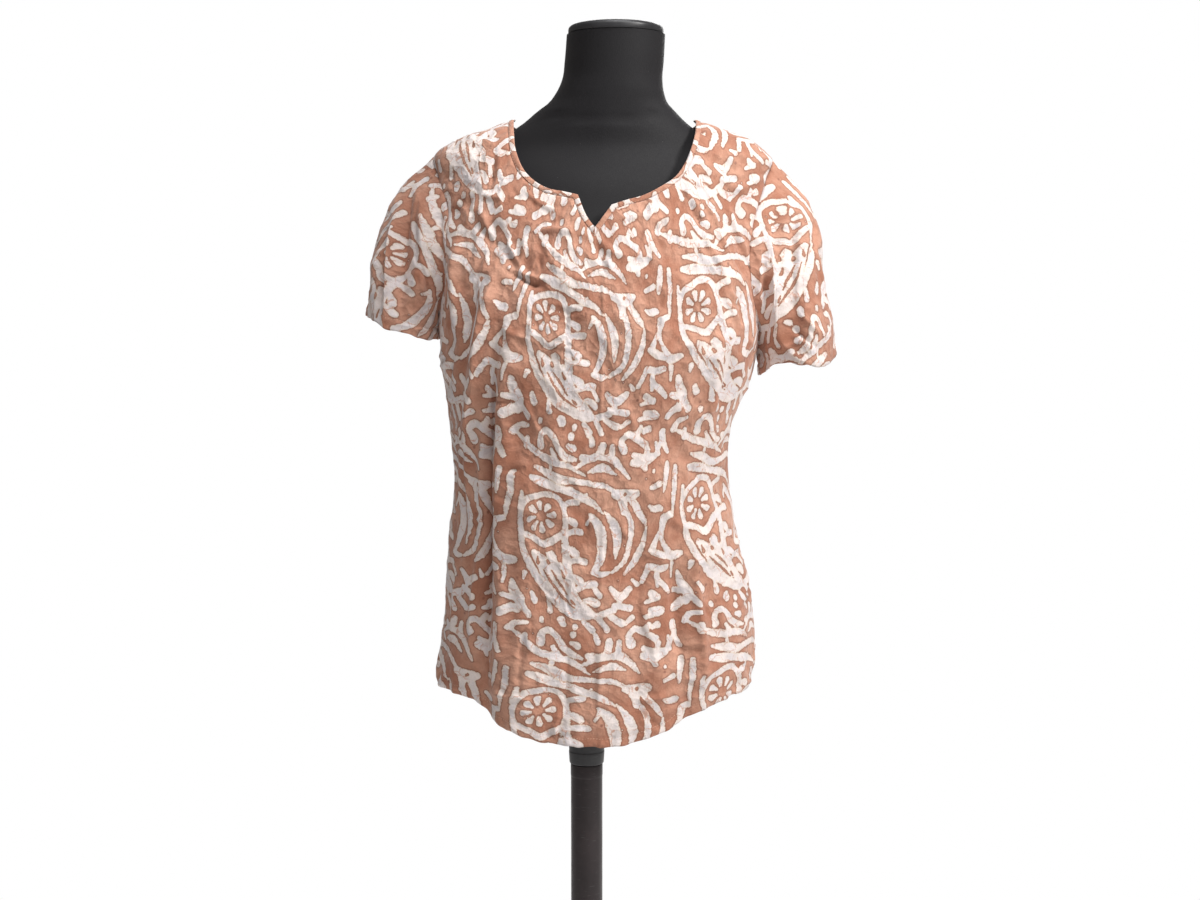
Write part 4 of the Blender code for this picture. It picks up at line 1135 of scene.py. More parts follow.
def node(tree, kind, inputs=None, **settings):
    """A new node with its settings; inputs are numbers, colours or other nodes' sockets."""
    made = tree.nodes.new(kind)
    for key, value in settings.items():
        setattr(made, key, value)
    for key, value in (inputs or {}).items():
        socket = made.inputs[key]
        if isinstance(value, bpy.types.NodeSocket):
            tree.links.new(value, socket)
        else:
            socket.default_value = value
    return made


def math_node(tree, operation, *values, clamp=False):
    inputs = dict(enumerate(values))
    return node(tree, "ShaderNodeMath", inputs, operation=operation, use_clamp=clamp).outputs[0]


def vector_node(tree, operation, *values):
    made = node(tree, "ShaderNodeVectorMath", dict(enumerate(values)), operation=operation)
    return made.outputs["Value" if operation in ("DOT_PRODUCT", "LENGTH") else "Vector"]


def mapped(tree, value, low, high, new_low=0.0, new_high=1.0):
    """A value moved smoothly from one range to another."""
    inputs = {"Value": value, "From Min": low, "From Max": high, "To Min": new_low, "To Max": new_high}
    made = node(tree, "ShaderNodeMapRange", inputs, interpolation_type="SMOOTHSTEP")
    return made.outputs["Result"]


def mixed(tree, factor, first, second, blend="MIX"):
    """Two colours mixed."""
    made = node(tree, "ShaderNodeMix", data_type="RGBA", blend_type=blend)
    for index, value in ((0, factor), (6, first), (7, second)):
        if isinstance(value, bpy.types.NodeSocket):
            tree.links.new(value, made.inputs[index])
        else:
            made.inputs[index].default_value = value if index == 0 else (*value, 1.0)
    return made.outputs[2]


def noise_node(tree, place, scale, detail=2.0, roughness=0.5, distortion=0.0):
    inputs = {
        "Vector": place, "Scale": scale, "Detail": detail,
        "Roughness": roughness, "Distortion": distortion,
    }
    return node(tree, "ShaderNodeTexNoise", inputs)


def stretched(tree, place, scale):
    """Coordinates scaled by a different amount each way."""
    return node(tree, "ShaderNodeMapping", {"Vector": place, "Scale": scale}).outputs["Vector"]


def new_material(name):
    material = bpy.data.materials.new(name)
    material.use_nodes = True
    return material, material.node_tree, material.node_tree.nodes["Principled BSDF"]


def stroke_group():
    """How far inside one tapered run of the print a place lies, in metres."""
    group = bpy.data.node_groups.new("print_run", "ShaderNodeTree")
    for name in ("Place", "Start", "End"):
        group.interface.new_socket(name, in_out="INPUT", socket_type="NodeSocketVector")
    group.interface.new_socket("Inside", in_out="OUTPUT", socket_type="NodeSocketFloat")
    given = group.nodes.new("NodeGroupInput").outputs
    in_plane = (1.0, 1.0, 0.0)
    place = vector_node(group, "MULTIPLY", vector_node(group, "SUBTRACT", given[0], given[1]), in_plane)
    run = vector_node(group, "MULTIPLY", vector_node(group, "SUBTRACT", given[2], given[1]), in_plane)
    along = vector_node(group, "DOT_PRODUCT", place, run)
    long = vector_node(group, "DOT_PRODUCT", run, run)
    t = math_node(group, "DIVIDE", along, long, clamp=True)
    reach = node(group, "ShaderNodeVectorMath", {0: run, "Scale": t}, operation="SCALE").outputs[0]
    away = vector_node(group, "LENGTH", vector_node(group, "SUBTRACT", place, reach))
    start = node(group, "ShaderNodeSeparateXYZ", {0: given[1]}).outputs[2]
    end = node(group, "ShaderNodeSeparateXYZ", {0: given[2]}).outputs[2]
    half = math_node(group, "MULTIPLY_ADD", math_node(group, "SUBTRACT", end, start), t, start)
    inside = math_node(group, "SUBTRACT", half, away)
    group.links.new(inside, group.nodes.new("NodeGroupOutput").inputs[0])
    return group


def print_depth(tree, place, group):
    """Positive inside the white of the print and negative on the ground, in metres."""
    found = {"waxed": [], "dyed": []}
    for word, layers in (("waxed", WAXED_LAYERS), ("dyed", 1)):
        for number in range(layers):
            run = node(tree, "ShaderNodeGroup", node_tree=group)
            tree.links.new(place, run.inputs["Place"])
            for end in ("start", "end"):
                layer = node(tree, "ShaderNodeAttribute", attribute_name=f"{word}_{number}_{end}")
                tree.links.new(layer.outputs["Vector"], run.inputs[end.capitalize()])
            found[word].append(run.outputs["Inside"])
    white = found["waxed"][0]
    for other in found["waxed"][1:]:
        white = math_node(tree, "SMOOTH_MAX", white, other, PRINT_BLEND)
    white = math_node(tree, "ADD", white, PRINT_SPREAD)
    return math_node(tree, "MINIMUM", white, math_node(tree, "MULTIPLY", found["dyed"][0], -1.0))


def batik_cotton():
    """Wax-printed cotton: terracotta ground, white motifs with creamy rims and fine cracks."""
    material, tree, shader = new_material("batik_cotton")
    uv = node(tree, "ShaderNodeUVMap", uv_map="cloth").outputs["UV"]
    wander = noise_node(tree, uv, 150.0, 3.0, 0.55).outputs["Color"]
    wander = vector_node(tree, "SUBTRACT", wander, (0.5, 0.5, 0.5))
    wander = vector_node(tree, "MULTIPLY", wander, (0.0030, 0.0030, 0.0))
    depth = print_depth(tree, vector_node(tree, "ADD", uv, wander), stroke_group())
    bleed = noise_node(tree, uv, 900.0, 2.0).outputs["Fac"]
    depth = math_node(tree, "ADD", depth, mapped(tree, bleed, 0.3, 0.7, -0.0003, 0.0003))
    # Small drops of wax, in one cell out of seven
    drops_scale = 110.0
    drops = node(tree, "ShaderNodeTexVoronoi", {"Vector": uv, "Scale": drops_scale}, feature="F1")
    drop = math_node(tree, "SUBTRACT", 0.075, drops.outputs["Distance"])
    chance = node(tree, "ShaderNodeSeparateXYZ", {0: drops.outputs["Color"]}).outputs[0]
    drop = math_node(tree, "MINIMUM", drop, math_node(tree, "SUBTRACT", chance, 0.86))
    depth = math_node(tree, "MAXIMUM", depth, math_node(tree, "DIVIDE", drop, drops_scale))
    white = mapped(tree, depth, -0.00025, 0.0004)

    broad = noise_node(tree, uv, 14.0, 3.0, 0.6).outputs["Fac"]
    cloudy = noise_node(tree, uv, 75.0, 4.0, 0.65).outputs["Fac"]
    patches = math_node(tree, "MULTIPLY_ADD", broad, 0.74, math_node(tree, "MULTIPLY", cloudy, 0.26))
    ground = mixed(tree, mapped(tree, patches, 0.36, 0.62), GROUND_DARK, GROUND_LIGHT)
    near_white = mapped(tree, depth, -0.0022, -0.0003)
    halo = math_node(tree, "MULTIPLY", near_white, mapped(tree, cloudy, 0.30, 0.58))
    ground = mixed(tree, math_node(tree, "MULTIPLY", halo, 0.6), ground, HALO)
    dye_edge = math_node(tree, "MULTIPLY", mapped(tree, depth, -0.0014, -0.0004), 0.7)
    ground = mixed(tree, dye_edge, ground, HALO)

    cool = noise_node(tree, uv, 38.0, 2.0).outputs["Fac"]
    bright = mixed(tree, mapped(tree, cool, 0.4, 0.62), WHITE, WHITE_COOL)
    rim = mapped(tree, depth, 0.0016, 0.0002)
    bright = mixed(tree, math_node(tree, "MULTIPLY", rim, 0.8), bright, CREAM)
    bent = vector_node(tree, "ADD", uv, vector_node(tree, "MULTIPLY", wander, (3.0, 3.0, 0.0)))
    cells = {"Vector": bent, "Scale": 62.0}
    cracks = node(tree, "ShaderNodeTexVoronoi", cells, feature="DISTANCE_TO_EDGE")
    crack = mapped(tree, cracks.outputs["Distance"], 0.034, 0.006)
    crack = math_node(tree, "MULTIPLY", crack, mapped(tree, cloudy, 0.42, 0.54))
    bright = mixed(tree, math_node(tree, "MULTIPLY", crack, 0.8), bright, GROUND_LIGHT)
    color = mixed(tree, white, ground, bright)

    warp = noise_node(tree, stretched(tree, uv, (2400.0, 260.0, 1.0)), 1.0, 1.0).outputs["Fac"]
    weft = noise_node(tree, stretched(tree, uv, (260.0, 2400.0, 1.0)), 1.0, 1.0).outputs["Fac"]
    threads = math_node(tree, "ADD", warp, weft)
    shade = mapped(tree, threads, 0.7, 1.3, 0.86, 1.0)
    grey = node(tree, "ShaderNodeCombineColor", {0: shade, 1: shade, 2: shade}).outputs[0]
    color = mixed(tree, 1.0, color, grey, "MULTIPLY")
    tree.links.new(color, shader.inputs["Base Color"])

    drift = noise_node(tree, uv, 90.0, 2.0).outputs["Color"]
    drifted = vector_node(tree, "ADD", uv, vector_node(tree, "MULTIPLY", drift, (0.008, 0.008, 0.0)))
    facets = []
    for scale in (85.0, 190.0):
        cells = node(tree, "ShaderNodeTexVoronoi", {"Vector": drifted, "Scale": scale}, feature="F1")
        facets.append(math_node(tree, "DIVIDE", cells.outputs["Distance"], scale))
    small = math_node(tree, "MULTIPLY", facets[0], mapped(tree, broad, 0.35, 0.62, 0.08, 0.25))
    fine = math_node(tree, "MULTIPLY", facets[1], mapped(tree, cloudy, 0.40, 0.60, 0.03, 0.13))
    relief = math_node(tree, "ADD", small, fine)
    creased = node(tree, "ShaderNodeBump", {"Strength": 1.0, "Distance": 1.0, "Height": relief})
    weave = node(tree, "ShaderNodeBump", {
        "Strength": 0.5, "Distance": 0.00012, "Height": threads, "Normal": creased.outputs[0],
    })
    tree.links.new(weave.outputs[0], shader.inputs["Normal"])
    tree.links.new(mapped(tree, threads, 0.7, 1.3, 0.92, 0.80), shader.inputs["Roughness"])
    shader.inputs["Sheen Weight"].default_value = 0.22
    shader.inputs["Sheen Roughness"].default_value = 0.5
    shader.inputs["Specular IOR Level"].default_value = 0.45
    return material


def form_cover():
    """Black knitted cover of the form, with a fine rib and a soft nap."""
    material, tree, shader = new_material("form_cover")
    place = node(tree, "ShaderNodeTexCoord").outputs["Object"]
    rib = noise_node(tree, stretched(tree, place, (1500.0, 1500.0, 500.0)), 1.0, 2.0).outputs["Fac"]
    cloud = noise_node(tree, place, 9.0, 3.0).outputs["Fac"]
    lint = node(tree, "ShaderNodeTexVoronoi", {"Vector": place, "Scale": 260.0}, feature="F1")
    specks = mapped(tree, lint.outputs["Distance"], 0.07, 0.03)
    rare = mapped(tree, noise_node(tree, place, 55.0, 1.0).outputs["Fac"], 0.62, 0.7)
    base = mixed(tree, mapped(tree, rib, 0.3, 0.7), FORM_BLACK, tuple(2.1 * c for c in FORM_BLACK))
    base = mixed(tree, mapped(tree, cloud, 0.35, 0.7, 0.0, 0.35), base, (0.0125, 0.0118, 0.0145))
    base = mixed(tree, math_node(tree, "MULTIPLY", specks, rare), base, (0.22, 0.21, 0.21))
    tree.links.new(base, shader.inputs["Base Color"])
    bump = node(tree, "ShaderNodeBump", {"Strength": 0.5, "Distance": 0.0003, "Height": rib})
    tree.links.new(bump.outputs[0], shader.inputs["Normal"])
    tree.links.new(mapped(tree, rib, 0.3, 0.7, 0.62, 0.8), shader.inputs["Roughness"])
    shader.inputs["Sheen Weight"].default_value = 0.05
    shader.inputs["Sheen Roughness"].default_value = 0.4
    shader.inputs["Specular IOR Level"].default_value = 0.35
    return material


def hard_black(name, color, roughness, metallic, grain, bump_depth):
    """Black plastic or painted metal, with fine grain and uneven gloss."""
    material, tree, shader = new_material(name)
    place = node(tree, "ShaderNodeTexCoord").outputs["Object"]
    fine = noise_node(tree, place, grain, 3.0, 0.6).outputs["Fac"]
    wide = noise_node(tree, place, 24.0, 3.0, 0.6).outputs["Fac"]
    scuffs = noise_node(tree, stretched(tree, place, (90.0, 90.0, 900.0)), 1.0, 2.0).outputs["Fac"]
    worn = mapped(tree, scuffs, 0.64, 0.74)
    base = mixed(tree, mapped(tree, wide, 0.35, 0.7), color, tuple(1.5 * c for c in color))
    base = mixed(tree, math_node(tree, "MULTIPLY", worn, 0.35), base, (0.10, 0.095, 0.095))
    tree.links.new(base, shader.inputs["Base Color"])
    gloss = mapped(tree, wide, 0.3, 0.7, roughness - 0.07, roughness + 0.09)
    tree.links.new(gloss, shader.inputs["Roughness"])
    bump = node(tree, "ShaderNodeBump", {"Strength": 0.4, "Distance": bump_depth, "Height": fine})
    tree.links.new(bump.outputs[0], shader.inputs["Normal"])
    shader.inputs["Metallic"].default_value = metallic
    return material


def sewing_thread():
    """Spun thread, a little paler than the ground."""
    material, tree, shader = new_material("sewing_thread")
    place = node(tree, "ShaderNodeTexCoord").outputs["Object"]
    twist = noise_node(tree, place, 2500.0, 1.0).outputs["Fac"]
    color = mixed(tree, mapped(tree, twist, 0.3, 0.7), THREAD, tuple(0.7 * c for c in THREAD))
    tree.links.new(color, shader.inputs["Base Color"])
    shader.inputs["Roughness"].default_value = 0.75
    return material


def floor_material():
    """Pale paper that fades to plain white away from the stand."""
    material, tree, shader = new_material("floor")
    place = node(tree, "ShaderNodeTexCoord").outputs["Object"]
    cloud = noise_node(tree, place, 1.5, 2.0).outputs["Fac"]
    color = mixed(tree, mapped(tree, cloud, 0.3, 0.7), FLOOR, tuple(0.98 * c for c in FLOOR))
    tree.links.new(color, shader.inputs["Base Color"])
    shader.inputs["Roughness"].default_value = 0.9
    white = node(tree, "ShaderNodeEmission", {"Color": (1, 1, 1, 1), "Strength": 1.0}).outputs[0]
    away = mapped(tree, vector_node(tree, "LENGTH", place), 0.35, 1.05)
    seen = node(tree, "ShaderNodeLightPath").outputs["Is Camera Ray"]
    away = math_node(tree, "MULTIPLY", away, seen)
    both = node(tree, "ShaderNodeMixShader", {0: away, 1: shader.outputs[0], 2: white})
    tree.links.new(both.outputs[0], tree.nodes["Material Output"].inputs["Surface"])
    return material


# ================================================================ the form

def form_point(z, angle):
    """The form's surface at a height and an angle in radians."""
    columns = rows_at(FORM, z)
    middle_x, half_width, front, back, power = np.moveaxis(columns, -1, 0)
    across, ahead = np.cos(angle), np.sin(angle)
    across = np.sign(across) * np.abs(across) ** (2 / power)
    ahead = np.sign(ahead) * np.abs(ahead) ** (2 / power)
    x = middle_x + half_width * across
    y = (front + back) / 2 + (back - front) / 2 * ahead
    return np.stack((x, y, z), axis=-1)


def dress_form(material):
    """The torso and neck with their cover's seams pressed in, closed at both ends."""
    shares = np.linspace(0, 1, FORM_ROWS + 1)
    base, top = FORM[0, 0], FORM[-1, 0]
    z = base + (top - base) * (0.15 * (1 - (1 - shares) ** 4) + 0.85 * shares)
    angle = np.linspace(0, 2 * math.pi, FORM_SEGMENTS + 1)
    z, angle = np.meshgrid(z, angle, indexing="ij")
    grid = form_point(z, angle)
    around = np.roll(grid[:, :-1], -1, axis=1) - np.roll(grid[:, :-1], 1, axis=1)
    around = np.concatenate((around, around[:, :1]), axis=1)
    normals = unit(np.cross(around, np.gradient(grid, axis=0)))
    dip = NECK_SEAM["dip"] * np.maximum(-np.sin(angle), 0) ** 2
    to_neck_seam = z - (NECK_SEAM["z"] - dip)
    half = FORM_SEAM["half"]
    groove = np.exp(-((to_neck_seam / half) ** 2))
    for seam_angle in (math.radians(180), 0.0, math.radians(90), 2 * math.pi):
        reach = np.abs(angle - seam_angle) * 0.11
        groove = np.maximum(groove, np.exp(-((reach / half) ** 2)) * (z < NECK_SEAM["z"]))
    grid = grid - normals * (groove * FORM_SEAM["depth"])[..., None]
    mesh = grid_mesh("form_cover_cloth", grid, welded=True)
    bm = bmesh.new()
    bm.from_mesh(mesh)
    ends = [edge for edge in bm.edges if edge.is_boundary]
    bmesh.ops.holes_fill(bm, edges=ends, sides=0)
    bmesh.ops.recalc_face_normals(bm, faces=bm.faces)
    bm.to_mesh(mesh)
    tree = BVHTree.FromBMesh(bm)
    bm.free()
    mesh.shade_smooth()
    mesh.set_sharp_from_angle(angle=math.radians(50))
    obj = new_object("form_cover_cloth", mesh, material)
    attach(obj, "root")
    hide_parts("form_torso")
    return obj, tree


# ================================================================ the blouse

def body_normals(points):
    return unit(surface_slope(points))


def grid_normals(grid, closed=False):
    """Directions out of a grid; a closed one has its first column again as its last."""
    around = np.gradient(grid, axis=1)
    if closed:
        around[:, 0] = around[:, -1] = (grid[:, 1] - grid[:, -2]) / 2
    return unit(np.cross(around, np.gradient(grid, axis=0)))


def seam_lines(front, back, neck_seam):
    """Points along every seam of the blouse, to press its line into both pieces."""
    lines = [piece[FINE["vent"] :, column] for piece in (front, back) for column in (0, -1)]
    shoulder = FINE["shoulder"]
    lines += [front[-1, : shoulder + 1], front[-1, -shoulder - 1 :], neck_seam]
    return np.concatenate([even_curve(line, int(run_of(line)[-1] / 0.0012)) for line in lines])


class Relief:
    """What lifts or presses the cloth of the whole blouse, seams included."""

    def __init__(self, seams):
        self.seam_tree = tree_of(seams)
        self.creases = in_metres(CREASES, CREASE_GAIN) + scattered_creases()
        self.troughs = in_metres(TROUGHS)
        random = np.random.default_rng(SEED + 1)
        self.facets = [(size, slope, facet_seeds(size, random)) for size, slope in FACETS]

    def height(self, points):
        near_seam = distances(points, self.seam_tree)
        lift = crease_height(points, self.creases) + crumple_height(points, self.facets)
        lift = CREASE_LIMIT * np.tanh(lift / CREASE_LIMIT) + crease_height(points, self.troughs)
        flat = points.reshape(-1, 3)
        pucker = np.array([noise.noise(Vector(point) / PUCKER["size"]) for point in flat])
        pucker = PUCKER["height"] * pucker.reshape(near_seam.shape) * np.exp(-near_seam / PUCKER["reach"])
        lift = lift * (0.45 + 0.55 * soft_step(near_seam / 0.02))
        lift += pucker * soft_step(near_seam / 0.003)
        return lift - SEAM_DEPTH * np.exp(-((near_seam / SEAM_HALF_WIDTH) ** 2))


def hem_noise(points, size, shape):
    flat = points.reshape(-1, 3)
    return np.reshape([noise.noise(Vector((p[0], p[1], 0)) / size) for p in flat], shape)


def hem_height(points, to_hem, turn_depth):
    """A turned hem: a thicker strip, a line of stitches above it, and ripples."""
    ripple = hem_noise(points, 0.021, to_hem.shape) + 0.5 * hem_noise(points, 0.009, to_hem.shape)
    ripple = ripple * HEM_RIPPLE * np.exp(-to_hem / 0.03)
    turned = 0.0007 * soft_step((turn_depth - to_hem) / 0.001)
    groove = -0.0013 * np.exp(-(((to_hem - turn_depth + HEM_STITCH_INSET) / 0.0018) ** 2))
    return ripple + turned + groove


def uneven_hem(points, to_hem):
    """Lets a hem rise and dip a little along its edge."""
    points = points.copy()
    rise = hem_noise(points, 0.035, to_hem.shape) + 0.6 * hem_noise(points, 0.013, to_hem.shape)
    points[..., 2] += HEM_UNEVEN * rise * np.exp(-to_hem / 0.014)
    return points


def distance_from_row(grid, row):
    """Distance from a row of the grid, measured along its columns."""
    steps = np.linalg.norm(np.diff(grid, axis=0), axis=-1)
    run = np.concatenate((np.zeros((1, grid.shape[1])), np.cumsum(steps, axis=0)))
    return np.abs(run - run[row])


def finish_cloth(name, grid, smooth, node_name, material, welded=False, turned=False):
    """A piece of cloth over a grid, with the size and area it was cut to; smooth is its uncrumpled grid."""
    flat = print_laid(flattened(smooth), grid, name)
    area = flat_area(flat)
    size = tuple(round(float(side), 3) for side in np.ptp(flat.reshape(-1, 2), axis=0))
    if area > size[0] * size[1]:
        size = (size[0], round(area / size[0] + 0.001, 3))
    obj = cloth_object(name, grid, flat, material, welded, turned)
    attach(obj, "root")
    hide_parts(node_name)
    return obj, size, area


def stitch_line(bm, line, normals):
    """Stitches along a line on the cloth's outer face."""
    run = run_of(line)
    places = np.arange(STITCH_STEP / 2, run[-1] - STITCH_STEP / 2, STITCH_STEP)
    points, ahead, lifts = (
        np.stack([np.interp(at, run, values[:, axis]) for axis in range(3)], axis=1)
        for at, values in ((places, line), (places + STITCH_AHEAD, line), (places, normals))
    )
    for point, next_point, lift in zip(points, ahead, unit(lifts)):
        x_axis = Vector(next_point - point).normalized()
        z_axis = Vector(lift)
        y_axis = z_axis.cross(x_axis).normalized()
        z_axis = x_axis.cross(y_axis)
        turn = Matrix((x_axis, y_axis, z_axis)).transposed().to_4x4()
        size = Matrix.Diagonal((*(s / 2 for s in STITCH_SIZE), 1))
        place = Matrix.Translation(Vector(point) + z_axis * STITCH_PROUD)
        bmesh.ops.create_uvsphere(bm, u_segments=6, v_segments=4, radius=1, matrix=place @ turn @ size)


def line_above_hem(grid, depth):
    """The line a given distance above the hem's row, and its directions out of the cloth."""
    to_hem = distance_from_row(grid, 0)
    normals = grid_normals(grid)
    line, out = [], []
    for column in range(grid.shape[1]):
        run = to_hem[:HEM_ROWS, column]
        line.append([np.interp(depth, run, grid[:HEM_ROWS, column, axis]) for axis in range(3)])
        out.append([np.interp(depth, run, normals[:HEM_ROWS, column, axis]) for axis in range(3)])
    return np.array(line), np.array(out)


def blouse(cotton, thread, form_tree):
    """All of the blouse's cloth and its stitches."""
    _, _, neck_seam, neck_line = top_edges(FINE)
    front = panel(LEFT, RIGHT, FRONT_ARMHOLE, FRONT_HEM, lambda counts: top_edges(counts)[0])
    back = panel(RIGHT, LEFT, BACK_ARMHOLE, BACK_HEM, lambda counts: top_edges(counts)[1])
    relief = Relief(seam_lines(front, back, neck_seam))
    made = {}
    stitches = bmesh.new()

    for name, grid, node_name in (("blouse_front", front, "front"), ("blouse_back", back, "back")):
        normals = body_normals(grid)
        shaped = folded(grid)
        to_hem = distance_from_row(grid, 0)
        lift = relief.height(shaped) + hem_height(shaped, to_hem, HEM_DEPTH)
        cloth = uneven_hem(leaned(shaped + normals * lift[..., None]), to_hem)
        cloth = keep_off_form(cloth, normals, form_tree)
        made[name] = finish_cloth(name, cloth, shaped, node_name, cotton)
        stitch_line(stitches, *line_above_hem(cloth, HEM_DEPTH - HEM_STITCH_INSET))

    for name, side, table, wave, node_name in (
        ("blouse_sleeve_left", LEFT, LEFT_SLEEVE, LEFT_HEM_WAVE, "sleeve_left"),
        ("blouse_sleeve_right", RIGHT, RIGHT_SLEEVE, RIGHT_HEM_WAVE, "sleeve_right"),
    ):
        turned = side is LEFT
        grid = sleeve(side, table, wave)
        shaped = folded(grid)
        own = grid_normals(grid, closed=True) * (-1 if turned else 1)
        w = np.linspace(0, 1, len(grid))[:, None, None]
        free = soft_step(w / 0.25)
        normals = unit(body_normals(grid) * (1 - free) + own * free)
        to_hem = distance_from_row(grid, -1)
        hem = hem_height(shaped, to_hem, SLEEVE_HEM_DEPTH) * soft_step(w[..., 0] / 0.3)
        lift = relief.height(shaped) + hem
        cloth = uneven_hem(leaned(shaped + normals * lift[..., None]), to_hem)
        upward = cloth[::-1]
        made[name] = finish_cloth(
            name, upward, shaped[::-1], node_name, cotton, welded=True, turned=not turned
        )
        line, out = line_above_hem(upward, SLEEVE_HEM_DEPTH - HEM_STITCH_INSET)
        stitch_line(stitches, line, out if turned else -out)

    made["blouse_neck_binding"] = binding(neck_seam, neck_line, relief, cotton, form_tree, stitches)
    mesh = bpy.data.meshes.new("stitches")
    stitches.to_mesh(mesh)
    stitches.free()
    mesh.shade_smooth()
    sewn = new_object("stitches", mesh, thread)
    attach(sewn, "root")
    return made


def binding(neck_seam, neck_line, relief, cotton, form_tree, stitches):
    """The narrow strip round the neckline, rolled over its edge and a little way inside."""
    loop = len(neck_seam)
    normals = body_normals(neck_line)
    rows = []
    for share, rise in ((-0.06, -0.0006), (0.0, 0.0003), (0.12, 0.0009), (0.35, 0.0011), (0.65, 0.0011),
                        (0.88, 0.0009), (1.0, 0.0002), (1.02, -0.0006), (0.92, -0.0012), (0.6, -0.0013)):
        line = neck_seam + (neck_line - neck_seam) * share
        lift = relief.height(onto_body(neck_seam, 1)) + rise
        rows.append(leaned(line + normals * lift[:, None]))
    grid = np.array(rows)
    grid = np.concatenate((grid, grid[:, :1]), axis=1)
    directions = np.concatenate((normals, normals[:1]))[None].repeat(len(grid), axis=0)
    grid = keep_off_form(grid, directions, form_tree)
    run = run_of(grid[3])
    height = run_of(np.array([grid[i, loop // 3] for i in range(len(grid))]))
    flat = np.stack(np.meshgrid(run, height), axis=-1)
    area = flat_area(flat)
    size = (round(float(run[-1]), 3), round(area / run[-1] + 0.0003, 4))
    size = (size[0], max(size[1], 0.0101))
    laid = print_laid(flat, grid, "blouse_neck_binding")
    obj = cloth_object("blouse_neck_binding", grid, laid, cotton, welded=True)
    obj.modifiers["cloth"].thickness = 0.0004
    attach(obj, "root")
    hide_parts("neck_binding")
    stitch_line(stitches, grid[2], directions[2])
    return obj, size, min(area, size[0] * size[1])


# ================================================================ the stand

def lathe(name, profile, middle, material, segments=64):
    """A turned piece from its outer profile, top to bottom, about a vertical line."""
    bm = bmesh.new()
    points = [bm.verts.new((radius, 0, z)) for radius, z in profile]
    edges = [bm.edges.new(pair) for pair in zip(points[:-1], points[1:])]
    bmesh.ops.spin(
        bm, geom=points + edges, cent=(0, 0, 0), axis=(0, 0, 1), dvec=(0, 0, 0),
        angle=2 * math.pi, steps=segments, use_merge=True, use_duplicate=False,
    )
    bmesh.ops.remove_doubles(bm, verts=bm.verts, dist=1e-6)
    bmesh.ops.recalc_face_normals(bm, faces=bm.faces)
    bmesh.ops.translate(bm, verts=bm.verts, vec=middle)
    mesh = bpy.data.meshes.new(name)
    bm.to_mesh(mesh)
    bm.free()
    mesh.shade_smooth()
    mesh.set_sharp_from_angle(angle=math.radians(35))
    obj = new_object(name, mesh, material)
    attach(obj, "root")
    return obj


def rounded(profile, radius, steps=4):
    """A profile with its corners rounded off."""
    out = [profile[0]]
    for before, corner, after in zip(profile[:-2], profile[1:-1], profile[2:]):
        before, corner, after = (np.array(p, float) for p in (before, corner, after))
        reach = min(radius, np.linalg.norm(before - corner) / 2, np.linalg.norm(after - corner) / 2)
        start = corner + unit(before - corner) * reach
        end = corner + unit(after - corner) * reach
        for t in np.linspace(0, 1, steps + 1):
            out.append(tuple((1 - t) ** 2 * start + 2 * t * (1 - t) * corner + t**2 * end))
    return out + [profile[-1]]


def turned_part(node_name, outline, radius, material):
    """Replaces a turned node with a finer one; its outline is in shares of radius and height."""
    low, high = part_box(node_name)
    middle = ((low.x + high.x) / 2, (low.y + high.y) / 2, low.z)
    full = (high.x - low.x) / 2
    tall = high.z - low.z
    profile = [(share * full, rise * tall) for share, rise in outline]
    obj = lathe(f"{node_name}_finish", rounded(profile, radius), middle, material)
    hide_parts(node_name)
    return obj


def stand(plastic, steel):
    """Cap, socket, pole, foot and base."""
    for node_name, radius, outline in STAND:
        metal = node_name in ("pole", "base")
        turned_part(node_name, outline, radius, steel if metal else plastic)


# ================================================================ studio

def placed(name, data, place, target):
    """A new object for a light or a camera, turned to face its target."""
    obj = bpy.data.objects.new(name, data)
    bpy.context.scene.collection.objects.link(obj)
    obj.location = place
    obj.rotation_mode = "QUATERNION"
    obj.rotation_quaternion = (Vector(target) - Vector(place)).to_track_quat("-Z", "Y")
    return obj


def area_light(name, place, size, energy, color):
    light = bpy.data.lights.new(name, "AREA")
    light.shape = "RECTANGLE"
    light.size = light.size_y = size
    light.energy = energy
    light.color = color
    return placed(name, light, place, LIT_PLACE)


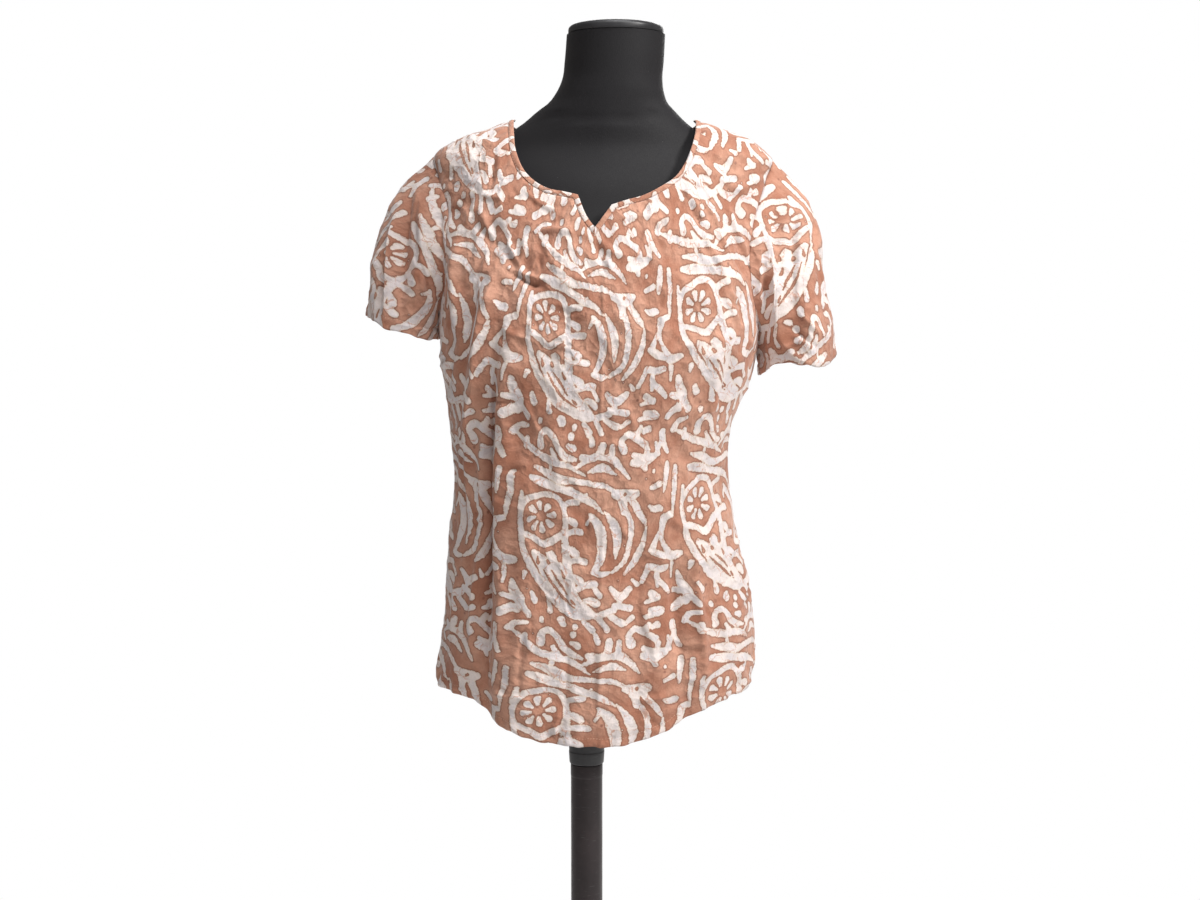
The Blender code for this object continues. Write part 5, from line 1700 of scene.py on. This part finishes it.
def flag(light, piece, link_state):
    """Keeps a light off one piece, or lets it reach that piece only."""
    reached = bpy.data.collections.new(light.name + "_reach")
    reached.objects.link(piece)
    reached.collection_objects[0].light_linking.link_state = link_state
    light.light_linking.receiver_collection = reached


def studio():
    """Pale floor, white surroundings, a large key light at the upper right and a weak fill."""
    bm = bmesh.new()
    bmesh.ops.create_grid(bm, x_segments=1, y_segments=1, size=30)
    mesh = bpy.data.meshes.new("floor")
    bm.to_mesh(mesh)
    bm.free()
    new_object("floor", mesh, floor_material())

    world = bpy.data.worlds.new("studio")
    bpy.context.scene.world = world
    world.use_nodes = True
    tree = world.node_tree
    ground = tree.nodes["Background"]
    ground.inputs["Color"].default_value = SURROUNDINGS["color"]
    ground.inputs["Strength"].default_value = SURROUNDINGS["strength"]
    shown = node(tree, "ShaderNodeBackground", {"Color": (1, 1, 1, 1), "Strength": 1.0})
    eye = node(tree, "ShaderNodeLightPath").outputs["Is Camera Ray"]
    both = node(tree, "ShaderNodeMixShader", {0: eye, 1: ground.outputs[0], 2: shown.outputs[0]})
    tree.links.new(both.outputs[0], tree.nodes["World Output"].inputs["Surface"])

    lights = {name: area_light(name, *rest) for name, *rest in LIGHTS}
    # The left sleeve hangs in the shade, so a weaker key stands in for the key there
    flag(lights["key"], bpy.data.objects["blouse_sleeve_left"], "EXCLUDE")
    flag(lights["weak_key"], bpy.data.objects["blouse_sleeve_left"], "INCLUDE")
    bpy.context.scene.view_settings.view_transform = "Standard"


def camera():
    """Two metres in front, a little above the bust, tipped down."""
    data = bpy.data.cameras.new("camera")
    data.sensor_width = 36
    data.lens = CAMERA["lens"]
    bpy.context.scene.camera = placed("camera", data, CAMERA["eye"], CAMERA["target"])


# ================================================================ build

WAXED_RUNS = waxed_runs()
DYED_RUNS = np.concatenate([pieces_of_stroke(stroke) for stroke in DYED])


def main():
    noise.seed_set(SEED)
    plastic = hard_black("black_plastic", PLASTIC_BLACK, 0.42, 0.0, 900.0, 0.00006)
    steel = hard_black("black_steel", STEEL_BLACK, 0.36, 0.5, 400.0, 0.00003)
    _, form_tree = dress_form(form_cover())
    blouse(batik_cotton(), sewing_thread(), form_tree)
    stand(plastic, steel)
    studio()
    camera()


main()
